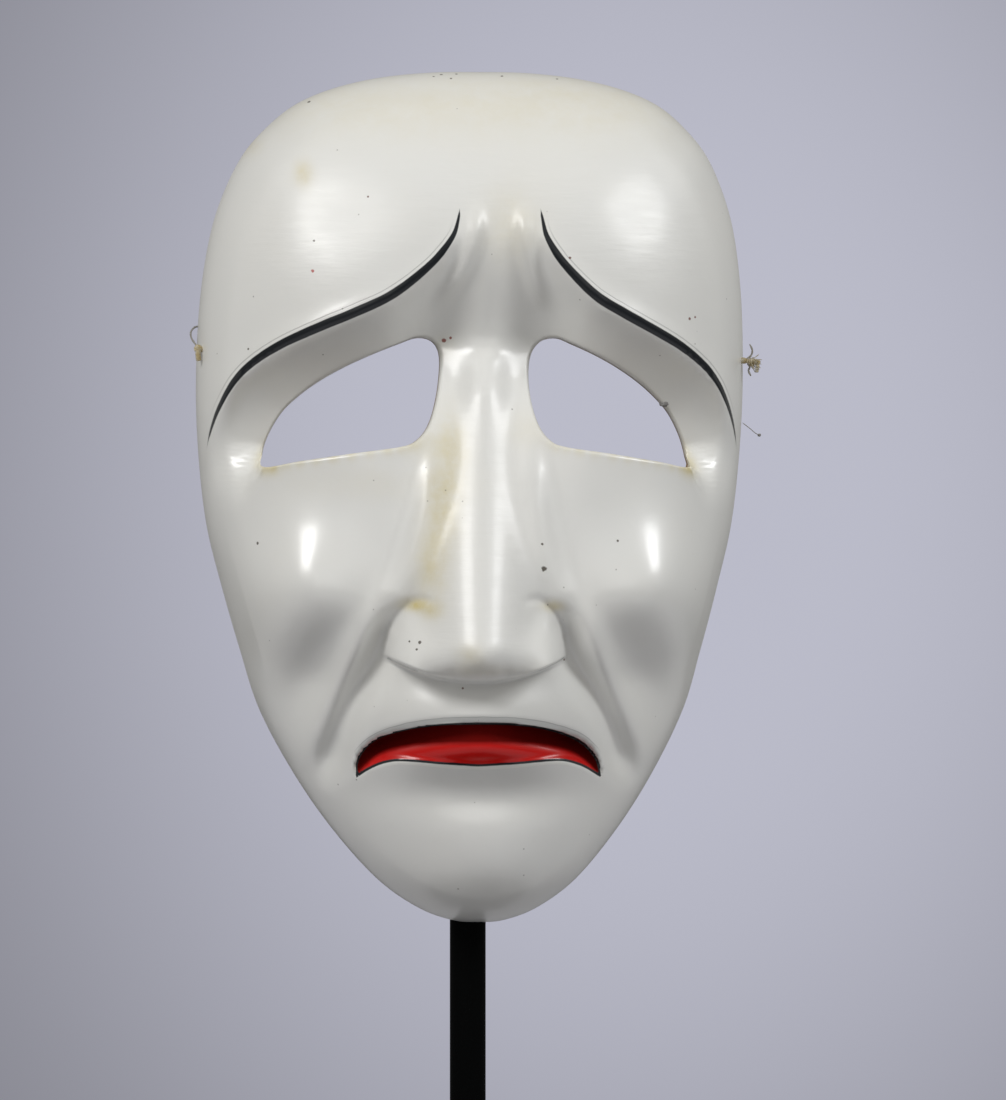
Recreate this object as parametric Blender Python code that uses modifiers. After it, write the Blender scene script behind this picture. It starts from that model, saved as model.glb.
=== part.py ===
"""A white dance mask carved from wood, hung on a bent steel post with a round foot.

Metres, +Z up. The mask faces -Y, and the post stands on the origin.
The carving is drawn in parts of the mask's height, each a millimetre at the modelled size:
x across from its middle line, z up from the middle of its height, and a height forward
of the plane of its rim.
"""

import math

import bmesh
import bpy
import numpy as np
from mathutils import Vector
from mathutils.bvhtree import BVHTree

GAP = 0.0003  # between pieces that touch

# Stand
FOOT_RADIUS = 0.085
FOOT_HEIGHT = 0.010
FOOT_ROUNDING = 0.002
SOCKET_DEPTH = 0.008
POST_RADIUS = 0.0045
POST_BEND_RADIUS = 0.014
POST_PAST_BAR = 0.004
BAR_RADIUS = 0.0025
BAR_LENGTH = 0.056
BAR_FORWARD = 0.012  # of the rim's plane
NOTCH_DEPTH = 0.004  # across the post's forward arm, where the bar lies
CHIN_ABOVE_FLOOR = 0.112

# Mask
MASK_HEIGHT = 0.2124
WALL = 0.0055
STRING_RADIUS = 0.0008
TIE_HOLE_CLEARANCE = 0.0007

# Carving, in parts of the mask's height
PARTS = 212.4
PART = MASK_HEIGHT / PARTS
DOME_HEIGHT = 45.0
DOME_CENTRE_Z = 12.0
DOME_SHOULDER = 2.5  # a larger power keeps the face flatter and its sides steeper
TEMPLE_EDGE = 0.5
RIM_FADE = 0.06  # share of the way in from the outline over which the relief grows
TIE_HOLE_X = 66.0
TIE_HOLE_FORWARD = 9.0
TIE_HOLE_LENGTH = 16.0
TIE_HOLE_Z = {"left": 36.5, "right": 34.0}

# Right half of the outline, from the crown down to the chin
OUTLINE = [
    (0, 106.2), (12, 106), (25, 104.6), (36.5, 101.8), (45.5, 97.8), (52.5, 92), (58.2, 85),
    (62.8, 75), (65.8, 64), (67.8, 48), (68.4, 28), (67.6, 10), (65.6, -7), (62, -22),
    (57.6, -38), (53, -53), (44.8, -69), (35.5, -83), (24.8, -95.4), (15, -102.5),
    (6.5, -105.7), (0, -106.2),
]
# Arris of the right brow, from the frown out to the temple
BROW = [
    (9.2, 71.4), (9.8, 67.2), (11.3, 62.4), (16, 56), (24.6, 48.5), (33, 44), (41.2, 40.2), (48.8, 36.4),
    (55, 32.2), (59, 28), (62, 22.8), (64, 17.6), (65.3, 11.8), (65.9, 4), (65.2, -5),
]
# Right eye hole, up its inner side, along the top and back along the bottom
EYE_HOLE = [
    (10.9, 30.4), (11.4, 35.3), (13.6, 38.2), (17.2, 38.9), (21.1, 37.5), (27.1, 34.9),
    (33, 32), (38.9, 28.5), (43.9, 24.7), (47.9, 20.6), (51, 15.1), (52.4, 10.4), (52.3, 7.1),
    (44, 8.4), (32, 10.2), (20.1, 11.9), (16.2, 13.6), (13.4, 17.4), (11.6, 23.6),
]
# The socket is at its full depth over the first line and gone under the second
SOCKET_TOP = [
    (0, 40), (17, 38.9), (27, 34.9), (39, 28.4), (48, 20.4), (52.5, 10.5), (56, 4), (60, -4), (66, -14),
]
SOCKET_FOOT = [
    (0, 16), (20, 11.9), (32, 10.2), (44, 8.4), (52, 6.5), (54, 2), (58, -7), (62, -16), (66, -24),
]
SCOOP_DEPTH = 15.0
SCOOP_WIDTH = 18.0
MOUTH_TOP = [(0, -55.3), (8.9, -55.6), (17.6, -57), (25.1, -59.8), (29.4, -64.3), (30.4, -69.3)]
MOUTH_FOOT = [(0, -66), (8.8, -65.5), (17.6, -64.8), (21.6, -65), (26, -66.5), (30.4, -69.3)]
NOSE_ROOT_Z = 29.0
NOSE_ROOT_HEIGHT = 37.6  # forward of the rim's plane
NOSE_SLOPE = 0.37  # of its straight ridge
NOSE_STEEPNESS = 0.95  # of its planed sides, at least
NOSE_FOOT_Z = -45.4
NOSE_FOOT_RISE = 5.8  # of the foot's line, out at the wings
WING_REACH = 21.6
WING = {"x": 13.4, "z": -38.5, "half_width": 8.9, "half_height": 13.2}
WING_TOP_HEIGHT = 2.4
WING_RISE = 0.74  # forward for each part down from its top
WING_TILT = 0.58

# Soft swellings and hollows: x, z, half width, half height, height
SWELLINGS = [
    (27, 68, 26, 26, 1.8),  # forehead
    (45.5, -25.5, 16, 17, 11),  # cheek
]
# On the middle line: z, half width, half height above it and below it, height
MIDDLE_SWELLINGS = [
    (84, 12, 26, 26, -0.8),  # parting of the forehead
    (35, 17, 20, 33, -13.7),  # between the brows and the eyes
    (-55, 26, 10, 10, 6.0),  # upper lip
    (-73, 20, 5.5, 5.5, -3.0),  # under the lower lip
    (-98, 27, 16, 16, 5.5),  # chin
]
# Long folds: points, half width, run-out at the ends, height
FOLDS = [
    ([(6, 73), (6.2, 63), (8.5, 55), (11.5, 49.5), (14, 45)], 2.2, 9, 2.1),  # frown
    (
        [(14, 10), (16.5, -6), (18.6, -17), (22, -26.5), (27, -34), (32, -43.5), (36, -53), (39, -68)],
        4.2, 22, 2.9,
    ),  # from the nose to the corner of the mouth
    ([(20.4, -23), (22, -31), (25, -40), (31, -51), (36, -64), (39, -74)], 3.6, 13, -5.8),  # beside the mouth
    ([(33, -22), (38, -38), (44, -56), (47, -66)], 9.5, 26, -7.2),  # under the cheek
]
# How far the carver's middle line strays, at heights on the mask
STRAY = [
    (-106, 0), (-80, 0), (-60, -0.9), (-40, -1.3), (-15, -0.4), (10, 0.8), (30, 1.6), (45, 3),
    (60, 4), (72, 4), (90, 1.5), (106, 0),
]
OUTLINE_BOW = 2.3

# Grid lines: where they are, and how many are drawn by there
COLUMNS = [(0, 0), (0.36, 13), (0.93, 20), (1, 23)]
ROWS_UP = [(12, 0), (28, 5), (75, 17), (101, 22), (106.2, 24)]
ROWS_DOWN = [
    (12, 0), (-20, 7), (-44.6, 18), (-46.2, 19), (-53.2, 22), (-55.2, 23), (-56.8, 24),
    (-66, 28), (-67.4, 29), (-84, 33), (-101, 37), (-106.2, 40),
]
HOLLOW_COLUMNS = [(0, 0), (0.9, 10), (1, 12)]
HOLLOW_ROWS_UP = [(12, 0), (94, 14), (106.2, 16)]
HOLLOW_ROWS_DOWN = [(12, 0), (-92, 14), (-106.2, 16)]
# Between these heights the rows follow the foot of the nose and the mouth
GUIDES_START, GUIDES_END = -20.0, -84.0
GUIDES_LIMIT = 14.0  # no row is moved further than this


def smooth_step(share):
    """Rises from 0 to 1 as the share does, level at both ends."""
    share = np.clip(share, 0, 1)
    return share * share * (3 - 2 * share)


def smooth_line(points, closed=False, steps=8):
    """A Catmull-Rom curve through the points."""
    given = np.array(points, float)
    if closed:
        padded = np.vstack([given[-1], given, given[0], given[1]])
    else:
        padded = np.vstack([2 * given[0] - given[1], given, 2 * given[-1] - given[-2]])
    t = np.linspace(0, 1, steps, endpoint=False)[:, None]
    pieces = []
    for a, b, c, d in zip(padded[:-3], padded[1:-2], padded[2:-1], padded[3:]):
        cubic = (3 * b - a - 3 * c + d) * t**3
        square = (2 * a - 5 * b + 4 * c - d) * t**2
        pieces.append((2 * b + (c - a) * t + square + cubic) / 2)
    if not closed:
        pieces.append(given[-1:])
    return np.vstack(pieces)


def height_on(points, x):
    line = smooth_line(points)
    return np.interp(x, line[:, 0], line[:, 1])


def whole_outline(steps, inset=0.0):
    """The outline once round, moved inwards along its normals by the inset."""
    left = [(-x, z) for x, z in OUTLINE[-2:0:-1]]
    ring = smooth_line(OUTLINE + left, closed=True, steps=steps)
    along = np.roll(ring, -1, axis=0) - np.roll(ring, 1, axis=0)
    along /= np.hypot(along[:, 0], along[:, 1])[:, None]
    return ring + inset * np.stack([along[:, 1], -along[:, 0]], axis=1)


def reach_of(ring):
    """Angles from straight up, sorted, and how far the ring lies from the dome's centre there."""
    angle = np.arctan2(ring[:, 0], ring[:, 1] - DOME_CENTRE_Z)
    order = np.argsort(angle)
    return angle[order], np.hypot(ring[:, 0], ring[:, 1] - DOME_CENTRE_Z)[order]


FACE_REACH = reach_of(whole_outline(16))
HOLLOW_REACH = reach_of(whole_outline(16, inset=WALL / PART))


def bow(z):
    """How far the outline's own middle bows to +X, most at the crown and the chin."""
    return OUTLINE_BOW * (2 * z / PARTS) ** 2


def stray(x, z):
    """How far the features stray to +X, fading towards the temples."""
    line = smooth_line(STRAY)
    return np.interp(z, line[:, 0], line[:, 1]) * (1 - smooth_step((np.abs(x) - 15) / 48))


def share_out(x, z):
    """The share of the way from the dome's centre out to the outline."""
    angle = np.arctan2(x, z - DOME_CENTRE_Z)
    return np.hypot(x, z - DOME_CENTRE_Z) / np.interp(angle, *FACE_REACH, period=math.tau)


def dome(share, z):
    """The plain shield, falling ever faster to nothing at the outline, with a slight edge at the temples."""
    edge = TEMPLE_EDGE * np.exp(-(((share - 0.9) / 0.035) ** 2)) * smooth_step((z + 40) / 60)
    return DOME_HEIGHT * np.sqrt(np.clip(1 - share**DOME_SHOULDER, 0, 1)) + edge


def beside_line(x, z, points):
    """Distance to the line, positive on its right going along, the run to there, and its length."""
    line = smooth_line(points, steps=5)
    distance = np.full(np.shape(x), np.inf)
    run = np.zeros(np.shape(x))
    side = np.ones(np.shape(x))
    done = 0.0
    for (ax, az), (bx, bz) in zip(line[:-1], line[1:]):
        dx, dz = bx - ax, bz - az
        length = math.hypot(dx, dz)
        share = np.clip(((x - ax) * dx + (z - az) * dz) / length**2, 0, 1)
        away = np.hypot(x - ax - share * dx, z - az - share * dz)
        nearer = away < distance
        distance = np.where(nearer, away, distance)
        run = np.where(nearer, done + share * length, run)
        side = np.where(nearer, np.where((z - az) * dx > (x - ax) * dz, -1, 1), side)
        done += length
    return distance * side, run, done


def swelling(x, z, middle_x, middle_z, half_width, half_height):
    """A bell-shaped rise of 1."""
    return np.exp(-(((x - middle_x) / half_width) ** 2) - ((z - middle_z) / half_height) ** 2)


def middle_swellings(x, z):
    """The swellings and hollows on the middle line, each with its own reach up and down."""
    height = 0 * z
    for middle_z, half_width, above, below, rise in MIDDLE_SWELLINGS:
        half_height = np.where(z > middle_z, above, below)
        height = height + rise * swelling(x, z, 0, middle_z, half_width, half_height)
    return height


def fold(x, z, points, half_width, run_out):
    """A bell-shaped ridge of 1 along a line, dying away at its ends."""
    distance, run, length = beside_line(x, z, points)
    ends = smooth_step(run / run_out) * smooth_step((length - run) / run_out)
    return np.exp(-((distance / half_width) ** 2)) * ends


def soft_above(height, softness):
    """The height where it is well above 0, rounded off to 0 below."""
    return softness * np.logaddexp(0, height / softness)


def socket(x, z):
    """The scoop under a brow: steeply down from its arris, and back up inside the eye hole."""
    below, run, length = beside_line(x, z, BROW)
    ends = smooth_step((run + 1) / 16) * smooth_step((length - run) / 22)
    foot = height_on(SOCKET_FOOT, x)
    span = np.maximum(height_on(SOCKET_TOP, x) - foot, 3)
    scoop = 1 - (1 - np.clip(below / SCOOP_WIDTH, 0, 1)) ** 1.6
    inside = smooth_step((z - foot) / span) * smooth_step((x - 1) / 20)
    arris = np.exp(-((below / 3) ** 2)) * smooth_step(run / 8)
    return ends * (arris - SCOOP_DEPTH * scoop * inside)


def nose_foot(x):
    """The curved line where the nose is cut off over the lip."""
    return NOSE_FOOT_Z + NOSE_FOOT_RISE * (x / WING_REACH) ** 2


def nose(x, z):
    """A straight ridge with planed sides and a wing on each, rounded under the tip and cut off at its foot."""
    down = np.clip((NOSE_ROOT_Z - z) / 70, 0, 1)
    top = 1.8 + 4.8 * down**1.5
    base = 7.0 + 12.5 * down**0.75
    straight = NOSE_ROOT_HEIGHT + NOSE_SLOPE * (NOSE_ROOT_Z - z)
    middle = dome(share_out(0 * z, z), z) + middle_swellings(0 * z, z)
    peak = soft_above(straight - middle, 1.2) * smooth_step((NOSE_ROOT_Z + 15 - z) / 20)
    width = np.minimum(base - top, 0.4 + peak / NOSE_STEEPNESS)
    ridge = soft_above(peak * (1 - soft_above(x - top, 0.35 + 0.9 * down) / width), 1.0)
    ridge = ridge * smooth_step(peak / 3)
    out = np.hypot((x - WING["x"]) / WING["half_width"], (z - WING["z"]) / WING["half_height"])
    wing = WING_TOP_HEIGHT + WING_RISE * (WING["z"] + WING["half_height"] - z) - WING_TILT * (x - WING["x"])
    wing = wing * np.clip(1 - out**7, 0, 1) ** 0.5
    blend = 0.8
    both = blend * np.log(np.exp(ridge / blend) + np.exp(wing / blend) - 1)
    foot = nose_foot(x)
    under = 0.15 + 0.42 * (1 - smooth_step((x - 8) / 10))
    rounded = 1 - under * np.clip((foot + 10 - z) / 10, 0, 1) ** 2.5
    return both * rounded * smooth_step((z - foot + 0.5) / 1.2)


def mouth(x, z):
    """A bevelled upper edge, and in the opening a lip set back under it that swells forward lower down."""
    top, foot = height_on(MOUTH_TOP, x), height_on(MOUTH_FOOT, x)
    corner = MOUTH_TOP[-1][0]
    bevel = smooth_step((top + 2.2 - z) / 2.2) * smooth_step((z - foot) / 1.5)
    bevel = bevel * smooth_step((corner + 0.6 - x) / 3)
    down = np.clip((top - z) / np.maximum(top - foot, 0.01), 0, 1)
    open_here = (z < top) & (z > foot) & (x < corner)
    lip = 4.2 * (1 - down) ** 1.3 - 2.8 * np.sin(math.pi * down**1.6)
    return -1.0 * bevel - np.where(open_here, np.sqrt(np.clip((corner - x) / 7, 0, 1)) * lip, 0)


def carved(x, z):
    """Height of the carved face forward of the rim's plane: the dome, and a relief that fades to the rim."""
    x = x - bow(z)
    share = share_out(x, z)
    height = dome(share, z)
    x = np.abs(x - stray(x, z))
    relief = middle_swellings(x, z) + socket(x, z) + nose(x, z) + mouth(x, z)
    for middle_x, middle_z, half_width, half_height, rise in SWELLINGS:
        relief = relief + rise * swelling(x, z, middle_x, middle_z, half_width, half_height)
    for points, half_width, run_out, rise in FOLDS:
        relief = relief + rise * fold(x, z, points, half_width, run_out)
    return height + relief * np.sqrt(np.clip((1 - share) / RIM_FADE, 0, 1))


def hollowed(x, z):
    """Height of the hollow: where a ball as wide as the wall stops when it rolls inside the face."""
    wall = WALL / PART
    height = carved(x, z) - wall
    for share in (0.5, 0.85, 1.0):
        for angle in np.arange(0, math.tau, math.tau / 12):
            beside = carved(x + share * wall * math.cos(angle), z + share * wall * math.sin(angle))
            height = np.minimum(height, beside - wall * math.sqrt(1 - share**2))
    return np.maximum(height, -1)


def lines_from(stations):
    """Grid lines from the middle to the edge, evenly spread between the stations."""
    places, counts = zip(*stations)
    return np.interp(np.arange(counts[-1] + 1), counts, places)


def across_lines(stations):
    """Shares of the width, from -1 to 1."""
    return np.concatenate([-lines_from(stations)[:0:-1], lines_from(stations)])


def up_lines(down, up):
    """Shares of the way from the dome's centre to the chin, below 0, and to the crown, above it."""
    below, above = lines_from(down)[:0:-1] - DOME_CENTRE_Z, lines_from(up) - DOME_CENTRE_Z
    return np.concatenate([-below / below[0], above / above[-1]])


def follow_features(x, z, row, out):
    """Moves the rows that cross the lower face on to the nose's foot and the mouth's two edges."""
    side = np.abs(x - bow(z) - stray(x, z))
    corner_x, corner_z = MOUTH_TOP[-1]
    ease = 1 - smooth_step((side - corner_x) / 18)
    nose_ease = 1 - smooth_step((side - WING_REACH + 2) / 14)
    guides = (
        (GUIDES_START, 0 * side),
        (NOSE_FOOT_Z, (nose_foot(side) - NOSE_FOOT_Z) * nose_ease),
        (MOUTH_TOP[0][1], np.maximum(height_on(MOUTH_TOP, side), corner_z + 0.7) - MOUTH_TOP[0][1]),
        (MOUTH_FOOT[0][1], height_on(MOUTH_FOOT, side) - MOUTH_FOOT[0][1] - 0.9 * smooth_step(side - 26)),
        (GUIDES_END, 0 * side),
    )
    moved = row.copy()
    for (upper, upper_move), (lower, lower_move) in zip(guides[:-1], guides[1:]):
        share = np.clip((upper - row) / (upper - lower), 0, 1)
        within = (row <= upper) & (row > lower)
        moved = np.where(within, row + upper_move * (1 - share) + lower_move * share, moved)
    ease = ease * smooth_step((row + 104) / 30) * smooth_step((12 - row) / 28) * smooth_step((1 - out) / 0.2)
    return z + ease * GUIDES_LIMIT * np.tanh((moved - z) / GUIDES_LIMIT)


def round_grid(name, columns, rows, reach, height_of, edge_height, follow=None):
    """A closed block: a square grid pressed into the outline, raised by height_of, with a flat back."""
    bm = bmesh.new()
    bmesh.ops.create_grid(bm, x_segments=len(columns) - 1, y_segments=len(rows) - 1, size=1)
    column = np.array([round((v.co.x + 1) / 2 * (len(columns) - 1)) for v in bm.verts])
    row = np.array([round((v.co.y + 1) / 2 * (len(rows) - 1)) for v in bm.verts])
    u, v = columns[column], rows[row]
    across, up = u * np.sqrt(1 - v**2 / 2), v * np.sqrt(1 - u**2 / 2)
    angle = np.arctan2(across, up)
    out = np.hypot(across, up) * np.interp(angle, *reach, period=math.tau)
    x, z = out * np.sin(angle), DOME_CENTRE_Z + out * np.cos(angle)
    x = x + bow(z)
    edge = (np.abs(u) > 1 - 1e-6) | (np.abs(v) > 1 - 1e-6)
    if follow:
        ends = np.interp([math.pi, 0], *reach, period=math.tau)
        middle = DOME_CENTRE_Z + v * np.where(v < 0, *ends)
        z = np.where(edge, z, follow(x, z, middle, np.hypot(across, up)))
    height = np.where(edge, edge_height, height_of(x, z))
    for vert, px, pz, ph in zip(bm.verts, x, z, height):
        vert.co = (px * PART, -ph * PART, pz * PART)
    border = [e for e in bm.edges if e.is_boundary]
    bmesh.ops.contextual_create(bm, geom=border)
    bmesh.ops.recalc_face_normals(bm, faces=bm.faces)
    return bm_object(name, bm)


def bm_object(name, bm):
    mesh = bpy.data.meshes.new(name)
    bm.to_mesh(mesh)
    bm.free()
    obj = bpy.data.objects.new(name, mesh)
    bpy.context.scene.collection.objects.link(obj)
    return obj


def prism(name, outline, front, back):
    """A straight block over a flat outline, from the front height to the back one."""
    bm = bmesh.new()
    face = bm.faces.new([bm.verts.new((x * PART, -front * PART, z * PART)) for x, z in outline])
    pushed = bmesh.ops.extrude_face_region(bm, geom=[face])["geom"]
    moved = [item for item in pushed if isinstance(item, bmesh.types.BMVert)]
    bmesh.ops.translate(bm, vec=(0, (front - back) * PART, 0), verts=moved)
    bmesh.ops.recalc_face_normals(bm, faces=bm.faces)
    return bm_object(name, bm)


def cylinder(name, radius, length, location, axis="Z", sides=32):
    turn = {"X": (0, math.pi / 2, 0), "Y": (math.pi / 2, 0, 0), "Z": (0, 0, 0)}[axis]
    bpy.ops.mesh.primitive_cylinder_add(
        vertices=sides, radius=radius, depth=length, location=location, rotation=turn
    )
    obj = bpy.context.object
    obj.name = obj.data.name = name
    return obj


def tube(name, points, radius, resolution):
    """A round rod along the points, as a closed mesh."""
    curve = bpy.data.curves.new(name, "CURVE")
    curve.dimensions = "3D"
    curve.bevel_depth = radius
    curve.bevel_resolution = resolution
    curve.use_fill_caps = True
    spline = curve.splines.new("POLY")
    spline.points.add(len(points) - 1)
    for point, place in zip(spline.points, points):
        point.co = (*place, 1)
    guide = bpy.data.objects.new(name + "_guide", curve)
    bpy.context.scene.collection.objects.link(guide)
    graph = bpy.context.evaluated_depsgraph_get()
    mesh = bpy.data.meshes.new_from_object(guide.evaluated_get(graph))
    bpy.data.objects.remove(guide)
    bm = bmesh.new()
    bm.from_mesh(mesh)
    bpy.data.meshes.remove(mesh)
    bmesh.ops.remove_doubles(bm, verts=bm.verts, dist=0.00001)
    bmesh.ops.recalc_face_normals(bm, faces=bm.faces)
    return bm_object(name, bm)


def cut(obj, cutter, cutters):
    modifier = obj.modifiers.new(cutter.name, "BOOLEAN")
    modifier.operation = "DIFFERENCE"
    modifier.solver = "EXACT"
    modifier.object = cutter
    move_to(cutter, cutters)
    cutter.hide_render = True
    cutter.display_type = "WIRE"


def move_to(obj, collection):
    for old in list(obj.users_collection):
        old.objects.unlink(obj)
    collection.objects.link(obj)


def finish(obj, colour, roughness):
    material = bpy.data.materials.new(obj.name)
    material.use_nodes = True
    shader = material.node_tree.nodes["Principled BSDF"]
    shader.inputs["Base Color"].default_value = (*colour, 1)
    shader.inputs["Roughness"].default_value = roughness
    shader.inputs["Metallic"].default_value = 0.0
    obj.data.materials.clear()
    obj.data.materials.append(material)
    obj.data.shade_smooth()
    obj.data.set_sharp_from_angle(angle=math.radians(35))


def roof_height(hollow, y, reach, half_length):
    """The highest z at which a level bar at y, of this reach round its axis, clears the hollow's roof."""
    bm = bmesh.new()
    bm.from_mesh(hollow.data)
    bm.transform(hollow.matrix_world)
    surface = BVHTree.FromBMesh(bm)
    bm.free()
    heights = []
    for x in np.linspace(-half_length, half_length, 57):
        for angle in np.linspace(-math.pi / 2, math.pi / 2, 17):
            start = Vector((x, y + reach * math.sin(angle), hollow.location.z))
            roof = surface.ray_cast(start, Vector((0, 0, 1)))[0]
            heights.append(roof.z - reach * math.cos(angle))
    return min(heights)


def build_mask(place, cutters):
    """The carved block, less its hollow, its eye holes and the holes for its ties."""
    rows = up_lines(ROWS_DOWN, ROWS_UP)
    mask = round_grid("mask", across_lines(COLUMNS), rows, FACE_REACH, carved, 0, follow_features)
    rows = up_lines(HOLLOW_ROWS_DOWN, HOLLOW_ROWS_UP)
    hollow = round_grid("mask_hollow", across_lines(HOLLOW_COLUMNS), rows, HOLLOW_REACH, hollowed, -3)
    cutting = [hollow]
    hole = smooth_line(EYE_HOLE, closed=True, steps=2)
    for side, way in (("left", -1), ("right", 1)):
        x, z = way * hole[:, 0], hole[:, 1]
        x = x + stray(x, z) + bow(z)
        cutting.append(prism(f"eye_hole_{side}", list(zip(x, z)), 60, -5))
        middle = Vector((way * TIE_HOLE_X, -TIE_HOLE_FORWARD, TIE_HOLE_Z[side])) * PART
        radius = STRING_RADIUS + TIE_HOLE_CLEARANCE
        cutting.append(cylinder(f"tie_hole_{side}", radius, TIE_HOLE_LENGTH * PART, middle, "X", 16))
    for obj in [mask, *cutting]:
        obj.location = obj.location + place
    bpy.context.view_layer.update()
    for cutter in cutting:
        cut(mask, cutter, cutters)
    finish(mask, (0.80, 0.79, 0.74), 0.32)
    return mask, hollow


def build_post(bar_y, bar_z, cutters):
    """Straight up from its socket, then a quarter bend into a forward arm that carries the bar."""
    foot = FOOT_HEIGHT - SOCKET_DEPTH + GAP
    arm_z = bar_z - POST_RADIUS + NOTCH_DEPTH - BAR_RADIUS - GAP
    bend = [
        (
            0,
            -POST_BEND_RADIUS * (1 - math.cos(angle)),
            arm_z - POST_BEND_RADIUS * (1 - math.sin(angle)),
        )
        for angle in np.linspace(0, math.pi / 2, 9)
    ]
    post = tube("post", [(0, 0, foot), *bend, (0, bar_y - POST_PAST_BAR, arm_z)], POST_RADIUS, 3)
    notch = cylinder("bar_notch", BAR_RADIUS + GAP, 4 * POST_RADIUS, (0, bar_y, bar_z), "X", 24)
    cut(post, notch, cutters)
    finish(post, (0.012, 0.012, 0.013), 0.6)
    return post


def build_bar(bar_y, bar_z):
    bar = cylinder("crossbar", BAR_RADIUS, BAR_LENGTH, (0, bar_y, bar_z), "X", 24)
    finish(bar, (0.012, 0.012, 0.013), 0.6)
    return bar


def build_base(cutters):
    """A round plate with the post's blind socket in its middle."""
    base = cylinder("base", FOOT_RADIUS, FOOT_HEIGHT, (0, 0, FOOT_HEIGHT / 2), sides=60)
    rounding = base.modifiers.new("rounded edges", "BEVEL")
    rounding.width = FOOT_ROUNDING
    rounding.segments = 2
    rounding.limit_method = "ANGLE"
    socket_hole = cylinder("post_socket", POST_RADIUS + GAP, 2 * SOCKET_DEPTH, (0, 0, FOOT_HEIGHT))
    cut(base, socket_hole, cutters)
    finish(base, (0.014, 0.014, 0.015), 0.55)
    return base


def build_tie_stub(side, way, place):
    """What is left of a tie: a short end of string through its hole, hanging down outside."""
    z = TIE_HOLE_Z[side]
    run = [(-5, 0), (0, 0), (3.3, -0.3), (4.6, -1.6), (4.8, -5)]
    points = [
        place + Vector((way * (TIE_HOLE_X + out), -TIE_HOLE_FORWARD, z + up)) * PART
        for out, up in smooth_line(run, steps=3)
    ]
    stub = tube(f"tie_stub_{side}", points, STRING_RADIUS, 1)
    finish(stub, (0.62, 0.52, 0.33), 0.9)
    return stub


def main():
    for obj in list(bpy.data.objects):
        bpy.data.objects.remove(obj)
    parts = bpy.data.collections.new("balinese_dance_mask")
    cutters = bpy.data.collections.new("cutters")
    for collection in (parts, cutters):
        bpy.context.scene.collection.children.link(collection)
    place = Vector((0, -POST_RADIUS - GAP, CHIN_ABOVE_FLOOR + MASK_HEIGHT / 2))
    mask, hollow = build_mask(place, cutters)
    bar_y = place.y - BAR_FORWARD
    bar_z = roof_height(hollow, bar_y, BAR_RADIUS + GAP, BAR_LENGTH / 2)
    pieces = [
        mask,
        build_post(bar_y, bar_z, cutters),
        build_bar(bar_y, bar_z),
        build_base(cutters),
        build_tie_stub("left", -1, place),
        build_tie_stub("right", 1, place),
    ]
    for piece in pieces:
        move_to(piece, parts)


main()
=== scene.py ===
# White lacquered theatre mask on a black steel stand: the looks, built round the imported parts.
# Carving is worked out in millimetres on the mask: x to the right, z up from the middle of its
# height, h forward of the plane of its rim. In the world x = x, y = rimPlane - h, z = middle + z.

import math

import bmesh
import bpy
import numpy as np
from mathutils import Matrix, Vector


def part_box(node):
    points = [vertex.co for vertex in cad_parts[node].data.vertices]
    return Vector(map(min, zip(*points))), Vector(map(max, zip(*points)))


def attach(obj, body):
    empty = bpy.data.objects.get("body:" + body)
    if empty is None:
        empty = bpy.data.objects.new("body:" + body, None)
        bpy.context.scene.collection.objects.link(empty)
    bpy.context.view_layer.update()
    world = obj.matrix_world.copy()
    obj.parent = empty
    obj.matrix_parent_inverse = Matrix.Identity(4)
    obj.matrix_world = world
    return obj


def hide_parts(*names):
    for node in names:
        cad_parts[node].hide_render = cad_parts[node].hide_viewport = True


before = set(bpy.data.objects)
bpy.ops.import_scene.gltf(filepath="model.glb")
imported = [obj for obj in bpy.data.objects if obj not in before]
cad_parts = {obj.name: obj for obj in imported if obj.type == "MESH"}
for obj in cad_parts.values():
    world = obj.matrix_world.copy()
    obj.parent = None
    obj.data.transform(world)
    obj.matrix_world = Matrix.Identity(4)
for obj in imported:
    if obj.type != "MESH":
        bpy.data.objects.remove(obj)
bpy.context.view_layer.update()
print("frame loaded:", ", ".join(sorted(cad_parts)))

# Camera, light and room

camera = {
    "distance": 1.6,  # from the mask's rim
    "azimuth": -4.0,
    "frameHeight": 0.275,  # seen at that distance
    "right": 0.0085,
    "height": 0.20495,
    "sensor": 24.0,
}
room = {
    "floorReach": 0.72,
    "floorColour": (0.50, 0.50, 0.53),
    "floorRoughness": 0.7,
    # the wall's colour is a painted pool of light: lightest in one direction, painted darker away from it
    # as shade
    "wallColour": (0.495, 0.500, 0.585),
    "wallPaintedShade": (0.235, 0.235, 0.270),
    "wallMiddle": (0.0912, 0.0, 0.012),  # direction in which the wall is lightest
    "wallReach": (0.094, 1.0, 0.120),
    "wallFade": (0.3, 1.6),  # shares of that reach
    "ambientColour": (1.0, 0.985, 0.945),
    "ambient": 0.33,
    "ambientLow": 0.03,
    "climb": (-0.35, 0.15),  # heights of the direction between which it grows
}
# Soft boxes: azimuth and elevation from the mask, distance, width, height, power, tint
softBoxes = [
    (-46, 35, 1.15, 0.36, 0.40, 6.3, (1.0, 0.995, 0.985)),
    (58, 33, 1.15, 0.34, 0.38, 5.1, (0.98, 0.99, 1.0)),
    (4, 60, 1.2, 0.7, 0.5, 0.2, (1.0, 0.99, 0.97)),
    (-4, 8, 1.35, 0.9, 0.6, 1.1, (1.0, 0.99, 0.975)),
]


def lookAt(thing, place, target):
    thing.location = place
    thing.rotation_euler = (Vector(target) - Vector(place)).to_track_quat("-Z", "Y").to_euler()


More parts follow.
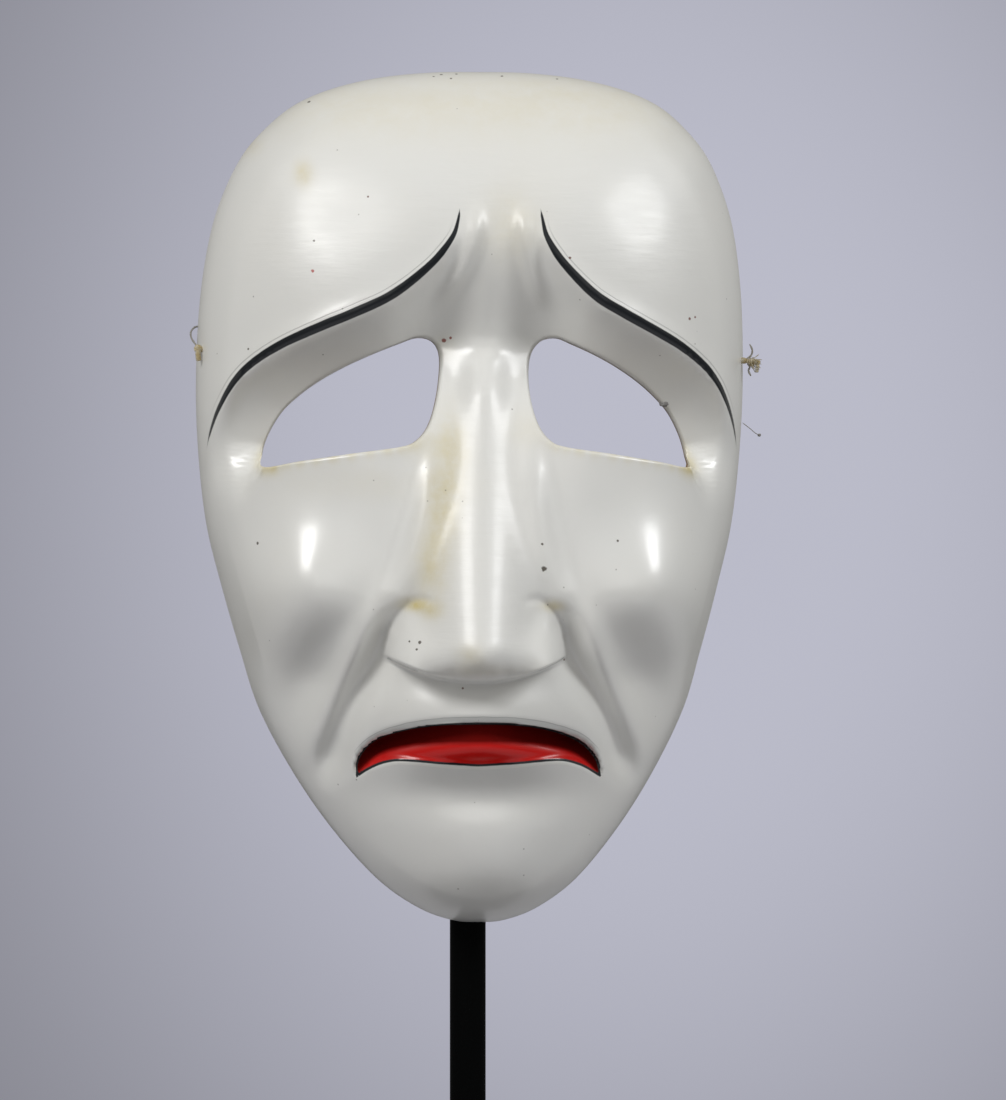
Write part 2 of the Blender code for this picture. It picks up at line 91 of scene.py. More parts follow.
def direction(azimuth, elevation):
    # towards the viewer: x = sin a cos e, y = -cos a cos e, z = sin e
    a, e = math.radians(azimuth), math.radians(elevation)
    return Vector((math.sin(a) * math.cos(e), -math.cos(a) * math.cos(e), math.sin(e)))


def makeCamera():
    data = bpy.data.cameras.new("photoCamera")
    eye = bpy.data.objects.new("photoCamera", data)
    bpy.context.scene.collection.objects.link(eye)
    back = direction(camera["azimuth"], 0)
    right = Vector((-back.y, back.x, 0))
    target = right * camera["right"] + Vector((0, mask["rimPlane"] / 1000, camera["height"]))
    lookAt(eye, target + back * camera["distance"], target)
    data.sensor_width = camera["sensor"]
    data.lens = camera["sensor"] * camera["distance"] / camera["frameHeight"]
    bpy.context.scene.camera = eye


def makeLights():
    middle = Vector((0, mask["rimPlane"] / 1000, mask["middle"] / 1000))
    for index, (azimuth, elevation, away, wide, high, power, tint) in enumerate(softBoxes):
        light = bpy.data.lights.new(f"softBox{index}", "AREA")
        light.shape = "RECTANGLE"
        light.size = wide
        light.size_y = high
        light.energy = power
        light.color = tint
        lamp = bpy.data.objects.new(light.name, light)
        bpy.context.scene.collection.objects.link(lamp)
        lookAt(lamp, middle + direction(azimuth, elevation) * away, middle)
        lamp.visible_camera = False


def makeFloor():
    # a disc whose colour thins out to nothing at its edge
    reach = room["floorReach"]
    ring = np.linspace(0, 2 * math.pi, 96, endpoint=False)
    points = [(reach * math.cos(a), reach * math.sin(a), 0) for a in ring]
    mesh = bpy.data.meshes.new("paleFloor")
    mesh.from_pydata(points, [], [list(range(len(points)))])
    floor = bpy.data.objects.new("paleFloor", mesh)
    bpy.context.scene.collection.objects.link(floor)
    material, tree, shader = newMaterial("paleFloor")
    away = addNode(tree, "VectorMath", {0: objectPlace(tree)}, operation="LENGTH")
    plug(shader, {
        "Base Color": (*room["floorColour"], 1),
        "Roughness": room["floorRoughness"],
        "Alpha": smoothRamp(Value(away, "Value"), (reach * 0.45, reach * 0.99), (1, 0)),
    })
    mesh.materials.append(material)


def makeWorld():
    # to the camera a cool grey wall with a painted pool of light, lightest at its middle and painted
    # darker away from it as shade; its light is warmer and even
    world = bpy.data.worlds.new("studio")
    bpy.context.scene.world = world
    world.use_nodes = True
    tree = world.node_tree
    way = Value(addNode(tree, "TexCoord"), "Generated")
    aside = addNode(tree, "VectorMath", {0: way, 1: room["wallMiddle"]}, operation="SUBTRACT")
    shares = (1 / room["wallReach"][0], 0, 1 / room["wallReach"][2])
    aside = addNode(tree, "VectorMath", {0: Value(aside), 1: shares}, operation="MULTIPLY")
    far = Value(addNode(tree, "VectorMath", {0: Value(aside)}, operation="LENGTH"), "Value")
    shown = tree.nodes["Background"]
    wall = mixColour(smoothRamp(far, room["wallFade"], (0, 1)), room["wallColour"], room["wallPaintedShade"])
    plug(shown, {"Color": wall})
    # less light from below: the strength climbs with the height of the direction
    up = Value(addNode(tree, "SeparateXYZ", {0: way}), "Z")
    strength = smoothRamp(up, room["climb"], (room["ambientLow"], room["ambient"]))
    lit = addNode(tree, "Background", {"Color": (*room["ambientColour"], 1), "Strength": strength})
    seen = Value(addNode(tree, "LightPath"), "Is Camera Ray")
    either = addNode(tree, "MixShader", {0: seen, 1: Value(lit), 2: Value(shown)})
    plug(tree.nodes["World Output"], {"Surface": Value(either)})
    bpy.context.scene.view_settings.view_transform = "Standard"


# Mask: its carving

mask = {
    "rimPlane": -4.8,
    "middle": 218.2,
    "halfHeight": 106.2,
    "wall": 5.5,
    "domeHeight": 45.0,
    "domeCentre": 12.0,
    "domeShoulder": 2.5,  # a larger power keeps the face flatter and its sides steeper
    "outlineBow": 2.3,
    "scoopDepth": 15.0,
    "scoopWidth": 18.0,
    "templeEdge": 0.5,
    "rimFade": 0.06,  # share of the way in from the outline over which the relief grows
    "columns": 230,
    "rows": 346,
    "innerColumns": 76,
    "innerRows": 104,
    "rimRounding": 0.7,
    "holeRounding": 0.9,
}
outline = [
    (0, 106.2), (12, 106), (25, 104.6), (36.5, 101.8), (45.5, 97.8), (52.5, 92), (58.2, 85),
    (62.8, 75), (65.8, 64), (67.8, 48), (68.4, 28), (67.6, 10), (65.6, -7), (62, -22),
    (57.6, -38), (53, -53), (44.8, -69), (35.5, -83), (24.8, -95.4), (15, -102.5),
    (6.5, -105.7), (0, -106.2),
]
brow = [
    (9.2, 71.4), (9.8, 67.2), (11.3, 62.4), (16, 56), (24.6, 48.5), (33, 44), (41.2, 40.2),
    (48.8, 36.4), (55, 32.2), (59, 28), (62, 22.8), (64, 17.6), (65.3, 11.8), (65.9, 4), (65.2, -5),
]
eyeHole = [
    (10.9, 30.4), (11.4, 35.3), (13.6, 38.2), (17.2, 38.9), (21.1, 37.5), (27.1, 34.9),
    (33, 32), (38.9, 28.5), (43.9, 24.7), (47.9, 20.6), (51, 15.1), (52.4, 10.4), (52.3, 7.1),
    (44, 8.4), (32, 10.2), (20.1, 11.9), (16.2, 13.6), (13.4, 17.4), (11.6, 23.6),
]
socketTop = [
    (0, 40), (17, 38.9), (27, 34.9), (39, 28.4), (48, 20.4), (52.5, 10.5), (56, 4), (60, -4),
    (66, -14),
]
socketFoot = [
    (0, 16), (20, 11.9), (32, 10.2), (44, 8.4), (52, 6.5), (54, 2), (58, -7), (62, -16),
    (66, -24),
]
mouthTop = [(0, -55.3), (8.9, -55.6), (17.6, -57), (25.1, -59.8), (29.4, -64.3), (30.4, -69.3)]
mouthFoot = [(0, -66), (8.8, -65.5), (17.6, -64.8), (21.6, -65), (26, -66.5), (30.4, -69.3)]
noseShape = {
    "root": 29.0,
    "foot": -45.4,
    "rootHeight": 37.6,
    "slope": 0.37,  # of its straight ridge
    "steepness": 0.95,  # of its planed sides, at least
    "footRise": 5.8,
    "reach": 21.6,
    "fillet": 1.5,
    "top": (1.8, 4.8),  # half width of the ridge at its root, and its growth
    "base": (7.0, 12.5),  # the same for the whole nose
    "edge": (1.3, 2.0),  # the same for the rounding between them
}
lipShape = {
    "bevel": 1.0,
    "bevelHeight": 2.2,
    "setBack": 4.2,  # under the upper edge
    "swell": 2.8,  # forward, lower down
    "aside": 4.8,  # further back to each side of the middle
    "middleWidth": 11.0,
    "cornerRun": 7.0,
}
wing = {
    "x": 13.4,
    "z": -38.5,
    "halfWidth": 8.9,
    "halfHeight": 13.2,
    "topHeight": 2.4,
    "rise": 0.74,  # forward for each millimetre down from its top
    "tilt": 0.58,
}
# Soft swellings and hollows: x, z, half width, half height, height
swellings = [
    (27, 68, 26, 26, 1.8),  # forehead
    (45.5, -25.5, 16, 17, 11),  # cheek
]
# On the middle line: z, half width, half height above it and below it, height
middleSwellings = [
    (84, 12, 26, 26, -0.8),  # parting of the forehead
    (35, 17, 20, 33, -13.7),  # between the brows and the eyes
    (-55, 26, 10, 10, 7.8),  # upper lip
    (-73, 20, 5.5, 5.5, -3.0),  # under the lower lip
    (-98, 27, 16, 16, 5.5),  # chin
]
# Long folds: points, half width, run-out at the ends, height
folds = [
    ([(6, 73), (6.2, 63), (8.5, 55), (11.5, 49.5), (14, 45)], 2.2, 9, 2.1),  # frown
    (
        [(9.8, 27), (11, 14), (12.4, 2), (14.2, -8), (17.2, -18), (21.6, -27), (27, -34), (32, -43.5),
         (36, -53), (39, -68)],
        4.0, 24, 3.0,
    ),  # from the nose to the corner of the mouth
    # beside the mouth
    ([(20.4, -23), (22, -31), (25, -40), (31, -51), (36, -64), (39, -74)], 3.6, 13, -5.8),
    ([(33, -22), (38, -38), (44, -56), (47, -66)], 9.5, 26, -7.2),  # under the cheek
    # over the wing
    ([(20.6, -34), (19, -28.8), (15.8, -25.8), (12.8, -25.4), (10.2, -27)], 1.1, 3, -0.7),
]
# The forehead is planed flatter on each side: middle, reach, share, and the slopes outwards and up
planed = {
    "x": 31.0, "z": 70.0, "wide": 15.0, "high": 14.0, "share": 0.55, "outwards": -0.41, "up": -0.36,
}
# How far the carver's middle line strays, at heights on the mask
strayLine = [
    (-106, 0), (-80, 0), (-60, -0.9), (-40, -1.3), (-15, -0.4), (10, 0.8), (30, 1.6), (45, 3),
    (60, 4), (72, 4), (90, 1.5), (106, 0),
]


def smoothStep(t):
    # 3t^2 - 2t^3, held at 0 and 1
    t = np.clip(t, 0, 1)
    return t * t * (3 - 2 * t)


def smoothLine(points, closed=False, steps=8):
    # Catmull-Rom: (2b + (c-a)t + (2a-5b+4c-d)t^2 + (3b-a-3c+d)t^3) / 2 between b and c
    given = np.array(points, float)
    if closed:
        padded = np.vstack([given[-1], given, given[0], given[1]])
    else:
        padded = np.vstack([2 * given[0] - given[1], given, 2 * given[-1] - given[-2]])
    a, b, c, d = (padded[i:len(padded) - 3 + i, None, :] for i in range(4))
    t = np.linspace(0, 1, steps, endpoint=False)[None, :, None]
    curve = 2 * b + (c - a) * t + (2 * a - 5 * b + 4 * c - d) * t**2 + (3 * b - a - 3 * c + d) * t**3
    curve = curve.reshape(-1, given.shape[1]) / 2
    return curve if closed else np.vstack([curve, given[-1:]])


def heightOn(points, x):
    line = smoothLine(points)
    return np.interp(x, line[:, 0], line[:, 1])


def insetLoop(ring, inset):
    # each point moved by the inset along the ring's inward normal
    along = np.roll(ring, -1, axis=0) - np.roll(ring, 1, axis=0)
    along = along / np.hypot(along[:, 0], along[:, 1])[:, None]
    return ring + inset * np.stack([along[:, 1], -along[:, 0]], axis=1)


def reachOf(ring):
    # polar form about the dome's centre: angle from straight up, and distance
    angle = np.arctan2(ring[:, 0], ring[:, 1] - mask["domeCentre"])
    order = np.argsort(angle)
    return angle[order], np.hypot(ring[:, 0], ring[:, 1] - mask["domeCentre"])[order]


wholeOutline = smoothLine(outline + [(-x, z) for x, z in outline[-2:0:-1]], closed=True, steps=16)
faceReach = reachOf(wholeOutline)
hollowReach = reachOf(insetLoop(wholeOutline, mask["wall"]))
fullTurn = 2 * math.pi


def bow(z):
    # outlineBow (z / halfHeight)^2
    return mask["outlineBow"] * (z / mask["halfHeight"]) ** 2


def stray(x, z):
    line = smoothLine(strayLine)
    return np.interp(z, line[:, 0], line[:, 1]) * (1 - smoothStep((np.abs(x) - 15) / 48))


def shareOut(x, z):
    # the share of the way from the dome's centre out to the outline
    angle = np.arctan2(x, z - mask["domeCentre"])
    return np.hypot(x, z - mask["domeCentre"]) / np.interp(angle, *faceReach, period=fullTurn)


def dome(share, z):
    # H sqrt(1 - s^p) and a slight edge at the temples
    edge = mask["templeEdge"] * np.exp(-(((share - 0.9) / 0.035) ** 2)) * smoothStep((z + 40) / 60)
    return mask["domeHeight"] * np.sqrt(np.clip(1 - share ** mask["domeShoulder"], 0, 1)) + edge


def middleRelief(x, z):
    # the swellings on the middle line
    relief = 0 * z
    for middleZ, halfWidth, above, below, rise in middleSwellings:
        relief = relief + rise * swelling(x, z, 0, middleZ, halfWidth, np.where(z > middleZ, above, below))
    return relief


def middleHeight(z):
    # the dome and its swellings along the middle line
    return dome(shareOut(0 * z, z), z) + middleRelief(0 * z, z)


def besideLine(x, z, points, steps=5):
    # signed distance to the line, plus on its right, with the run to the nearest point and the length
    line = smoothLine(points, steps=steps)
    distance = np.full(np.shape(x), np.inf)
    run = np.zeros(np.shape(x))
    side = np.ones(np.shape(x))
    done = 0.0
    for (ax, az), (bx, bz) in zip(line[:-1], line[1:]):
        dx, dz = bx - ax, bz - az
        length = math.hypot(dx, dz)
        share = np.clip(((x - ax) * dx + (z - az) * dz) / length**2, 0, 1)
        away = np.hypot(x - ax - share * dx, z - az - share * dz)
        nearer = away < distance
        distance = np.where(nearer, away, distance)
        run = np.where(nearer, done + share * length, run)
        side = np.where(nearer, np.where((z - az) * dx > (x - ax) * dz, -1, 1), side)
        done += length
    return distance * side, run, done


def swelling(x, z, middleX, middleZ, halfWidth, halfHeight):
    # exp(-u^2 - v^2)
    return np.exp(-(((x - middleX) / halfWidth) ** 2) - ((z - middleZ) / halfHeight) ** 2)


def fold(x, z, points, halfWidth, runOut):
    # exp(-(d / w)^2), faded at both ends of the line
    distance, run, length = besideLine(x, z, points)
    ends = smoothStep(run / runOut) * smoothStep((length - run) / runOut)
    return np.exp(-((distance / halfWidth) ** 2)) * ends


def softAbove(height, softness):
    # s log(1 + e^(h/s)): h where it is well above 0, rounded off to 0 below
    return softness * np.logaddexp(0, height / softness)


def socket(x, z):
    # 1 - (1 - b/w)^1.6 down from the brow's arris, closed again inside the eye hole
    below, run, length = besideLine(x, z, brow)
    ends = smoothStep((run + 1) / 16) * smoothStep((length - run) / 22)
    foot = heightOn(socketFoot, x)
    span = np.maximum(heightOn(socketTop, x) - foot, 3)
    scoop = 1 - (1 - np.clip(below / mask["scoopWidth"], 0, 1)) ** 1.6
    inside = smoothStep((z - foot) / span) * smoothStep((x - 1) / 20)
    arris = np.exp(-((below / 3) ** 2)) * smoothStep(run / 8)
    return ends * (arris - mask["scoopDepth"] * scoop * inside)


def noseFoot(x):
    # a parabola: foot + rise (x / reach)^2
    return noseShape["foot"] + noseShape["footRise"] * (x / noseShape["reach"]) ** 2


def nose(x, z):
    # a straight ridge with planed sides and a wing, joined by a soft maximum, cut off along the foot
    down = np.clip((noseShape["root"] - z) / 70, 0, 1)
    top = noseShape["top"][0] + noseShape["top"][1] * down**1.5
    base = noseShape["base"][0] + noseShape["base"][1] * down**0.75
    edge = noseShape["edge"][0] + noseShape["edge"][1] * down
    straight = noseShape["rootHeight"] + noseShape["slope"] * (noseShape["root"] - z)
    fade = smoothStep((noseShape["root"] + 15 - z) / 20)
    peak = softAbove(straight - middleHeight(z), 1.2) * fade
    widest, steepest = base - top, 0.4 + peak / noseShape["steepness"]
    width = np.maximum(widest - softAbove(widest - steepest, 1.4), 0.3)
    side = softAbove(x - top, edge) / width
    ridge = softAbove(peak * (1 - side), noseShape["fillet"]) * smoothStep(peak / 3)
    out = np.hypot((x - wing["x"]) / wing["halfWidth"], (z - wing["z"]) / wing["halfHeight"])
    wings = wing["topHeight"] + wing["rise"] * (wing["z"] + wing["halfHeight"] - z)
    wings = (wings - wing["tilt"] * (x - wing["x"])) * np.clip(1 - out**7, 0, 1) ** 0.5
    blend = 0.8
    both = blend * np.log(np.exp(ridge / blend) + np.exp(wings / blend) - 1)
    foot = noseFoot(x)
    under = 0.15 + 0.42 * (1 - smoothStep((x - 8) / 10))
    rounded = 1 - under * np.clip((foot + 10 - z) / 10, 0, 1) ** 2.5
    return both * rounded * smoothStep((z - foot + 0.5) / 1.2)


def mouth(x, z):
    # a bevelled upper edge, and a lip set back under it that swells forward lower down
    top, foot = heightOn(mouthTop, x), heightOn(mouthFoot, x)
    corner = mouthTop[-1][0]
    high = lipShape["bevelHeight"]
    bevel = smoothStep((top + high - z) / high) * smoothStep((z - foot) / 1.5)
    bevel = bevel * smoothStep((corner + 0.6 - x) / 3)
    down = np.clip((top - z) / np.maximum(top - foot, 0.01), 0, 1)
    openHere = (z < top) & (z > foot) & (x < corner)
    lip = lipShape["setBack"] * (1 - down) ** 1.3 - lipShape["swell"] * np.sin(math.pi * down**1.6)
    aside = 1 - np.exp(-((x / lipShape["middleWidth"]) ** 2))
    lip = lip + lipShape["aside"] * aside * (1 - down**4)
    ends = np.sqrt(np.clip((corner - x) / lipShape["cornerRun"], 0, 1))
    return -lipShape["bevel"] * bevel - np.where(openHere, ends * lip, 0)


def featureX(x, z):
    # distance from the carver's middle line
    return np.abs(x - bow(z) - stray(x - bow(z), z))


def planeForehead(x, z, height):
    # height + w (plane - height), the plane touching the face at the middle of the planed part
    flat = planed["level"] + planed["outwards"] * (x - planed["x"]) + planed["up"] * (z - planed["z"])
    weight = planed["share"] * swelling(x, z, planed["x"], planed["z"], planed["wide"], planed["high"])
    return height + weight * (flat - height)


def carved(x, z):
    height = unplaned(x, z)
    return planeForehead(featureX(x, z), z, height)


def unplaned(x, z):
    # dome + swellings + folds + socket + nose + mouth, run out to the dome alone at the rim
    share = shareOut(x - bow(z), z)
    height = dome(share, z)
    x = featureX(x, z)
    relief = socket(x, z) + nose(x, z) + mouth(x, z)
    for middleX, middleZ, halfWidth, halfHeight, rise in swellings:
        relief = relief + rise * swelling(x, z, middleX, middleZ, halfWidth, halfHeight)
    relief = relief + middleRelief(x, z)
    for points, halfWidth, runOut, rise in folds:
        relief = relief + rise * fold(x, z, points, halfWidth, runOut)
    return height + relief * np.sqrt(np.clip((1 - share) / mask["rimFade"], 0, 1))


planed["level"] = float(unplaned(np.array([planed["x"] + 4.0]), np.array([planed["z"]]))[0])


def hollowed(x, z):
    # the lowest of carved() - sqrt(w^2 - r^2) over a disc: a ball as wide as the wall, rolled inside
    wall = mask["wall"]
    height = carved(x, z) - wall
    for share in (0.5, 0.85, 1.0):
        for angle in np.arange(0, fullTurn, fullTurn / 12):
            beside = carved(x + share * wall * math.cos(angle), z + share * wall * math.sin(angle))
            height = np.minimum(height, beside - wall * math.sqrt(1 - share**2))
    return np.maximum(height, mask["rimRounding"])


# Mask: its mesh

guides = {"start": -20.0, "end": -84.0, "limit": 14.0}
# Grid lines: heights, and shares of the rows drawn by there
rowStations = [
    (106.2, 0.0), (101, 0.05), (75, 0.19), (28, 0.385), (12, 0.455), (-20, 0.575), (-43, 0.68),
    (-47.5, 0.715), (-53, 0.74), (-58, 0.79), (-64, 0.82), (-69, 0.85), (-84, 0.91), (-101, 0.965),
    (-106.2, 1.0),
]


def followFeatures(x, z, row, out):
    # rows over the lower face are moved on to the nose's foot and the mouth's two edges
    side = featureX(x, z)
    cornerX, cornerZ = mouthTop[-1]
    ease = 1 - smoothStep((side - cornerX) / 18)
    noseEase = 1 - smoothStep((side - noseShape["reach"] + 2) / 14)
    topMid, footMid = mouthTop[0][1], mouthFoot[0][1]
    lines = (
        (guides["start"], 0 * side),
        (noseShape["foot"], (noseFoot(side) - noseShape["foot"]) * noseEase),
        (topMid, np.maximum(heightOn(mouthTop, side), cornerZ + 0.7) - topMid),
        (footMid, heightOn(mouthFoot, side) - footMid - 0.9 * smoothStep(side - 26)),
        (guides["end"], 0 * side),
    )
    moved = row.copy()
    for (upper, upperMove), (lower, lowerMove) in zip(lines[:-1], lines[1:]):
        between = np.clip((upper - row) / (upper - lower), 0, 1)
        within = (row <= upper) & (row > lower)
        moved = np.where(within, row + upperMove * (1 - between) + lowerMove * between, moved)
    ease = ease * smoothStep((row + 104) / 30) * smoothStep((12 - row) / 28) * smoothStep((1 - out) / 0.2)
    return z + ease * guides["limit"] * np.tanh((moved - z) / guides["limit"])


def acrossShares(count):
    # u = 0.6 t + 0.4 sin(pi t / 2), which crowds the outermost lines
    t = np.linspace(-1, 1, count + 1)
    return 0.6 * t + 0.4 * np.sin(math.pi / 2 * t)


def upShares(count, stations):
    places, shares = zip(*stations)
    z = np.interp(np.linspace(0, 1, count + 1), shares, places)
    soft = np.convolve(np.pad(z, 6, "edge"), np.full(13, 1 / 13), "valid")
    fade = smoothStep(np.minimum(np.arange(count + 1), np.arange(count, -1, -1)) / 14)
    z = z * (1 - fade) + soft * fade - mask["domeCentre"]
    return np.where(z > 0, z / z[0], -z / z[-1])


def pressedGrid(columns, rows, reach):
    # a square grid pressed into a disc, x = u sqrt(1 - v^2/2), z = v sqrt(1 - u^2/2), then stretched
    # to the reach
    u, v = np.meshgrid(columns, rows)
    across, up = u * np.sqrt(1 - v**2 / 2), v * np.sqrt(1 - u**2 / 2)
    angle = np.arctan2(across, up)
    out = np.hypot(across, up) * np.interp(angle, *reach, period=fullTurn)
    x, z = out * np.sin(angle), mask["domeCentre"] + out * np.cos(angle)
    ends = np.interp([math.pi, 0], *reach, period=fullTurn)
    middle = mask["domeCentre"] + v * np.where(v < 0, *ends)
    return x + bow(z), z, middle, np.hypot(across, up)


def blockLoop(index, top, foot, left, right):
    # the grid's points round a block, once, clockwise from its upper left
    return np.concatenate([
        index[top, left:right], index[top:foot, right],
        index[foot, right:left:-1], index[foot:top:-1, left],
    ])


def bridge(a, b):
    return np.stack([a, np.roll(a, -1), np.roll(b, -1), b], axis=1)


def holeOutline(side):
    ring = smoothLine(eyeHole, closed=True, steps=12)
    x, z = side * ring[:, 0], ring[:, 1]
    return np.stack([x + stray(x, z) + bow(z), z], axis=1)


class Sheet:
    # the mask's points and faces, gathered loop by loop; kind is 0 on the face, 1 on the rim, 2 inside
    def __init__(self):
        self.x, self.z, self.h, self.kind = (np.zeros(0) for _ in range(4))
        self.quads = []
        self.triangles = []

    def add(self, x, z, h, kind):
        start = len(self.x)
        self.x = np.concatenate([self.x, np.ravel(x)])
        self.z = np.concatenate([self.z, np.ravel(z)])
        self.h = np.concatenate([self.h, np.ravel(h)])
        self.kind = np.concatenate([self.kind, np.full(np.size(x), float(kind))])
        return np.arange(start, len(self.x)).reshape(np.shape(x))

    def zip(self, a, b, centre):
        # triangles between two loops of different counts, taken in the order of their angles
        def turned(loop):
            angle = np.unwrap(np.arctan2(self.x[loop] - centre[0], self.z[loop] - centre[1]))
            if angle[-1] < angle[0]:
                loop, angle = loop[::-1], angle[::-1]
            angle = angle % fullTurn
            first = int(np.argmin(angle))
            return np.roll(loop, -first), np.roll(angle, -first)
        a, angleA = turned(a)
        b, angleB = turned(b)
        a, b = np.append(a, a[0]), np.append(b, b[0])
        angleA, angleB = np.append(angleA, angleA[0] + fullTurn), np.append(angleB, angleB[0] + fullTurn)
        onB = np.clip(np.searchsorted(angleB, angleA[1:], side="right") - 1, 0, len(b) - 1)
        onA = np.clip(np.searchsorted(angleA, angleB[1:], side="left") - 1, 0, len(a) - 1)
        self.triangles.append(np.stack([a[:-1], a[1:], b[onB]], axis=1))
        self.triangles.append(np.stack([b[1:], b[:-1], a[onA]], axis=1))


def holeRings(sheet, loop, hole, heightAt, rounding, count, kind):
    # rings run straight from the block's edge to the hole's, at the same angles, then over a
    # quarter round
    centre = hole.mean(axis=0)
    x, z = sheet.x[loop], sheet.z[loop]
    angle = np.arctan2(x - centre[0], z - centre[1])
    ringAngle = np.arctan2(hole[:, 0] - centre[0], hole[:, 1] - centre[1])
    order = np.argsort(ringAngle)
    radius = np.hypot(*(hole - centre).T)
    out = np.interp(angle, ringAngle[order], radius[order], period=fullTurn)
    edgeX, edgeZ = centre[0] + out * np.sin(angle), centre[1] + out * np.cos(angle)
    gap = np.hypot(x - edgeX, z - edgeZ)
    last = loop
    for step in range(1, count + 6):
        if step <= count:
            away = rounding + (gap - rounding) * (1 - step / count) ** 1.3
            drop = 0
        else:
            turn = math.pi / 2 * (step - count) / 5
            away = rounding * (1 - math.sin(turn))
            drop = rounding * (1 - math.cos(turn))
        ringX, ringZ = edgeX + (x - edgeX) * away / gap, edgeZ + (z - edgeZ) * away / gap
        ring = sheet.add(ringX, ringZ, heightAt(ringX, ringZ, drop), kind)
        sheet.quads.append(bridge(last, ring))
        last = ring
    return last


def makeSide(sheet, columns, rows, reach, follow, heightAt, rounding, ringCount, margin, kind):
    x, z, middle, share = pressedGrid(columns, rows, reach)
    edge = np.zeros(x.shape, bool)
    edge[[0, -1], :] = edge[:, [0, -1]] = True
    if follow:
        z = np.where(edge, z, followFeatures(x, z, middle, share))
    height = np.where(edge, mask["rimRounding"], heightAt(x, z, 0))
    index = sheet.add(x, z, height, kind)
    kept = np.ones((x.shape[0] - 1, x.shape[1] - 1), bool)
    holes = []
    for side in (-1, 1):
        hole = holeOutline(side)
        low, high = hole.min(axis=0) - margin, hole.max(axis=0) + margin
        within = (x > low[0]) & (x < high[0]) & (z > low[1]) & (z < high[1])
        rowsIn, columnsIn = np.flatnonzero(within.any(axis=1)), np.flatnonzero(within.any(axis=0))
        top, foot, left, right = rowsIn[0], rowsIn[-1], columnsIn[0], columnsIn[-1]
        kept[top:foot, left:right] = False
        loop = blockLoop(index, top, foot, left, right)
        holes.append(holeRings(sheet, loop, hole, heightAt, rounding, ringCount, kind))
    corners = np.stack([index[:-1, :-1], index[1:, :-1], index[1:, 1:], index[:-1, 1:]], axis=-1)
    sheet.quads.append(corners[kept])
    rim = blockLoop(index, 0, x.shape[0] - 1, 0, x.shape[1] - 1)
    return rim, holes


def rimRound(sheet, rim, inwards, kind):
    # a quarter round from the wall down to the rim's flat: inset r (1 - cos t), height r (1 - sin t)
    ring = np.stack([sheet.x[rim], sheet.z[rim]], axis=1)
    last = rim
    for turn in np.linspace(0, math.pi / 2, 5)[1:]:
        moved = insetLoop(ring, inwards * mask["rimRounding"] * (1 - math.cos(turn)))
        height = mask["rimRounding"] * (1 - math.sin(turn))
        added = sheet.add(moved[:, 0], moved[:, 1], np.full(len(rim), height), kind)
        sheet.quads.append(bridge(last, added))
        last = added
    return last


def makeMask():
    sheet = Sheet()
    outerRim, outerHoles = makeSide(
        sheet, acrossShares(mask["columns"]), upShares(mask["rows"], rowStations), faceReach,
        follow=True, heightAt=lambda x, z, drop: carved(x, z) - drop,
        rounding=mask["holeRounding"], ringCount=12, margin=3.0, kind=0,
    )
    innerRim, innerHoles = makeSide(
        sheet, acrossShares(mask["innerColumns"]), upShares(mask["innerRows"], rowStations), hollowReach,
        follow=False, heightAt=lambda x, z, drop: hollowed(x, z) + drop,
        rounding=0.8, ringCount=3, margin=5.0, kind=2,
    )
    for outer, inner in zip(outerHoles, innerHoles):
        sheet.zip(outer, inner, (sheet.x[outer].mean(), sheet.z[outer].mean()))
    outerFoot = rimRound(sheet, outerRim, inwards=1, kind=1)
    innerFoot = rimRound(sheet, innerRim, inwards=-1, kind=1)
    sheet.zip(outerFoot, innerFoot, (0, mask["domeCentre"]))
    print(f"mask: {len(sheet.x)} points")
    return sheet


def finishMesh(mesh, fields):
    # fields become attributes, and the normals face outwards
    for name, values in fields.items():
        attribute = mesh.attributes.new(name, "FLOAT", "POINT")
        attribute.data.foreach_set("value", values.astype(np.float32))
    bm = bmesh.new()
    bm.from_mesh(mesh)
    bmesh.ops.recalc_face_normals(bm, faces=bm.faces)
    openEdges = sum(1 for edge in bm.edges if len(edge.link_faces) != 2)
    bm.to_mesh(mesh)
    bm.free()
    mesh.shade_smooth()
    print(f"{mesh.name}: {len(mesh.polygons)} faces, {openEdges} open edges")


def maskMesh(sheet):
    place = np.stack([sheet.x, mask["rimPlane"] - sheet.h, mask["middle"] + sheet.z], axis=1) / 1000
    faces = [quad for quads in sheet.quads for quad in quads.tolist()]
    faces += [face for faces in sheet.triangles for face in faces.tolist() if len(set(face)) == 3]
    used = np.zeros(len(place), bool)
    for quads in sheet.quads + sheet.triangles:
        used[quads.ravel()] = True
    renumber = np.cumsum(used) - 1
    faces = [[int(renumber[point]) for point in face] for face in faces]
    mesh = bpy.data.meshes.new("mask")
    mesh.from_pydata(place[used], [], faces)
    finishMesh(mesh, paintFields(sheet.x[used], sheet.z[used], sheet.kind[used]))
    return mesh


# Where the painted shade on the lips ends: above this line the red is painted darker, as the shade under
# the upper edge
lipShadeEdge = [(0, -60.3), (9, -60.5), (17, -61.2), (23.5, -63), (27.4, -66), (30.4, -69.3)]
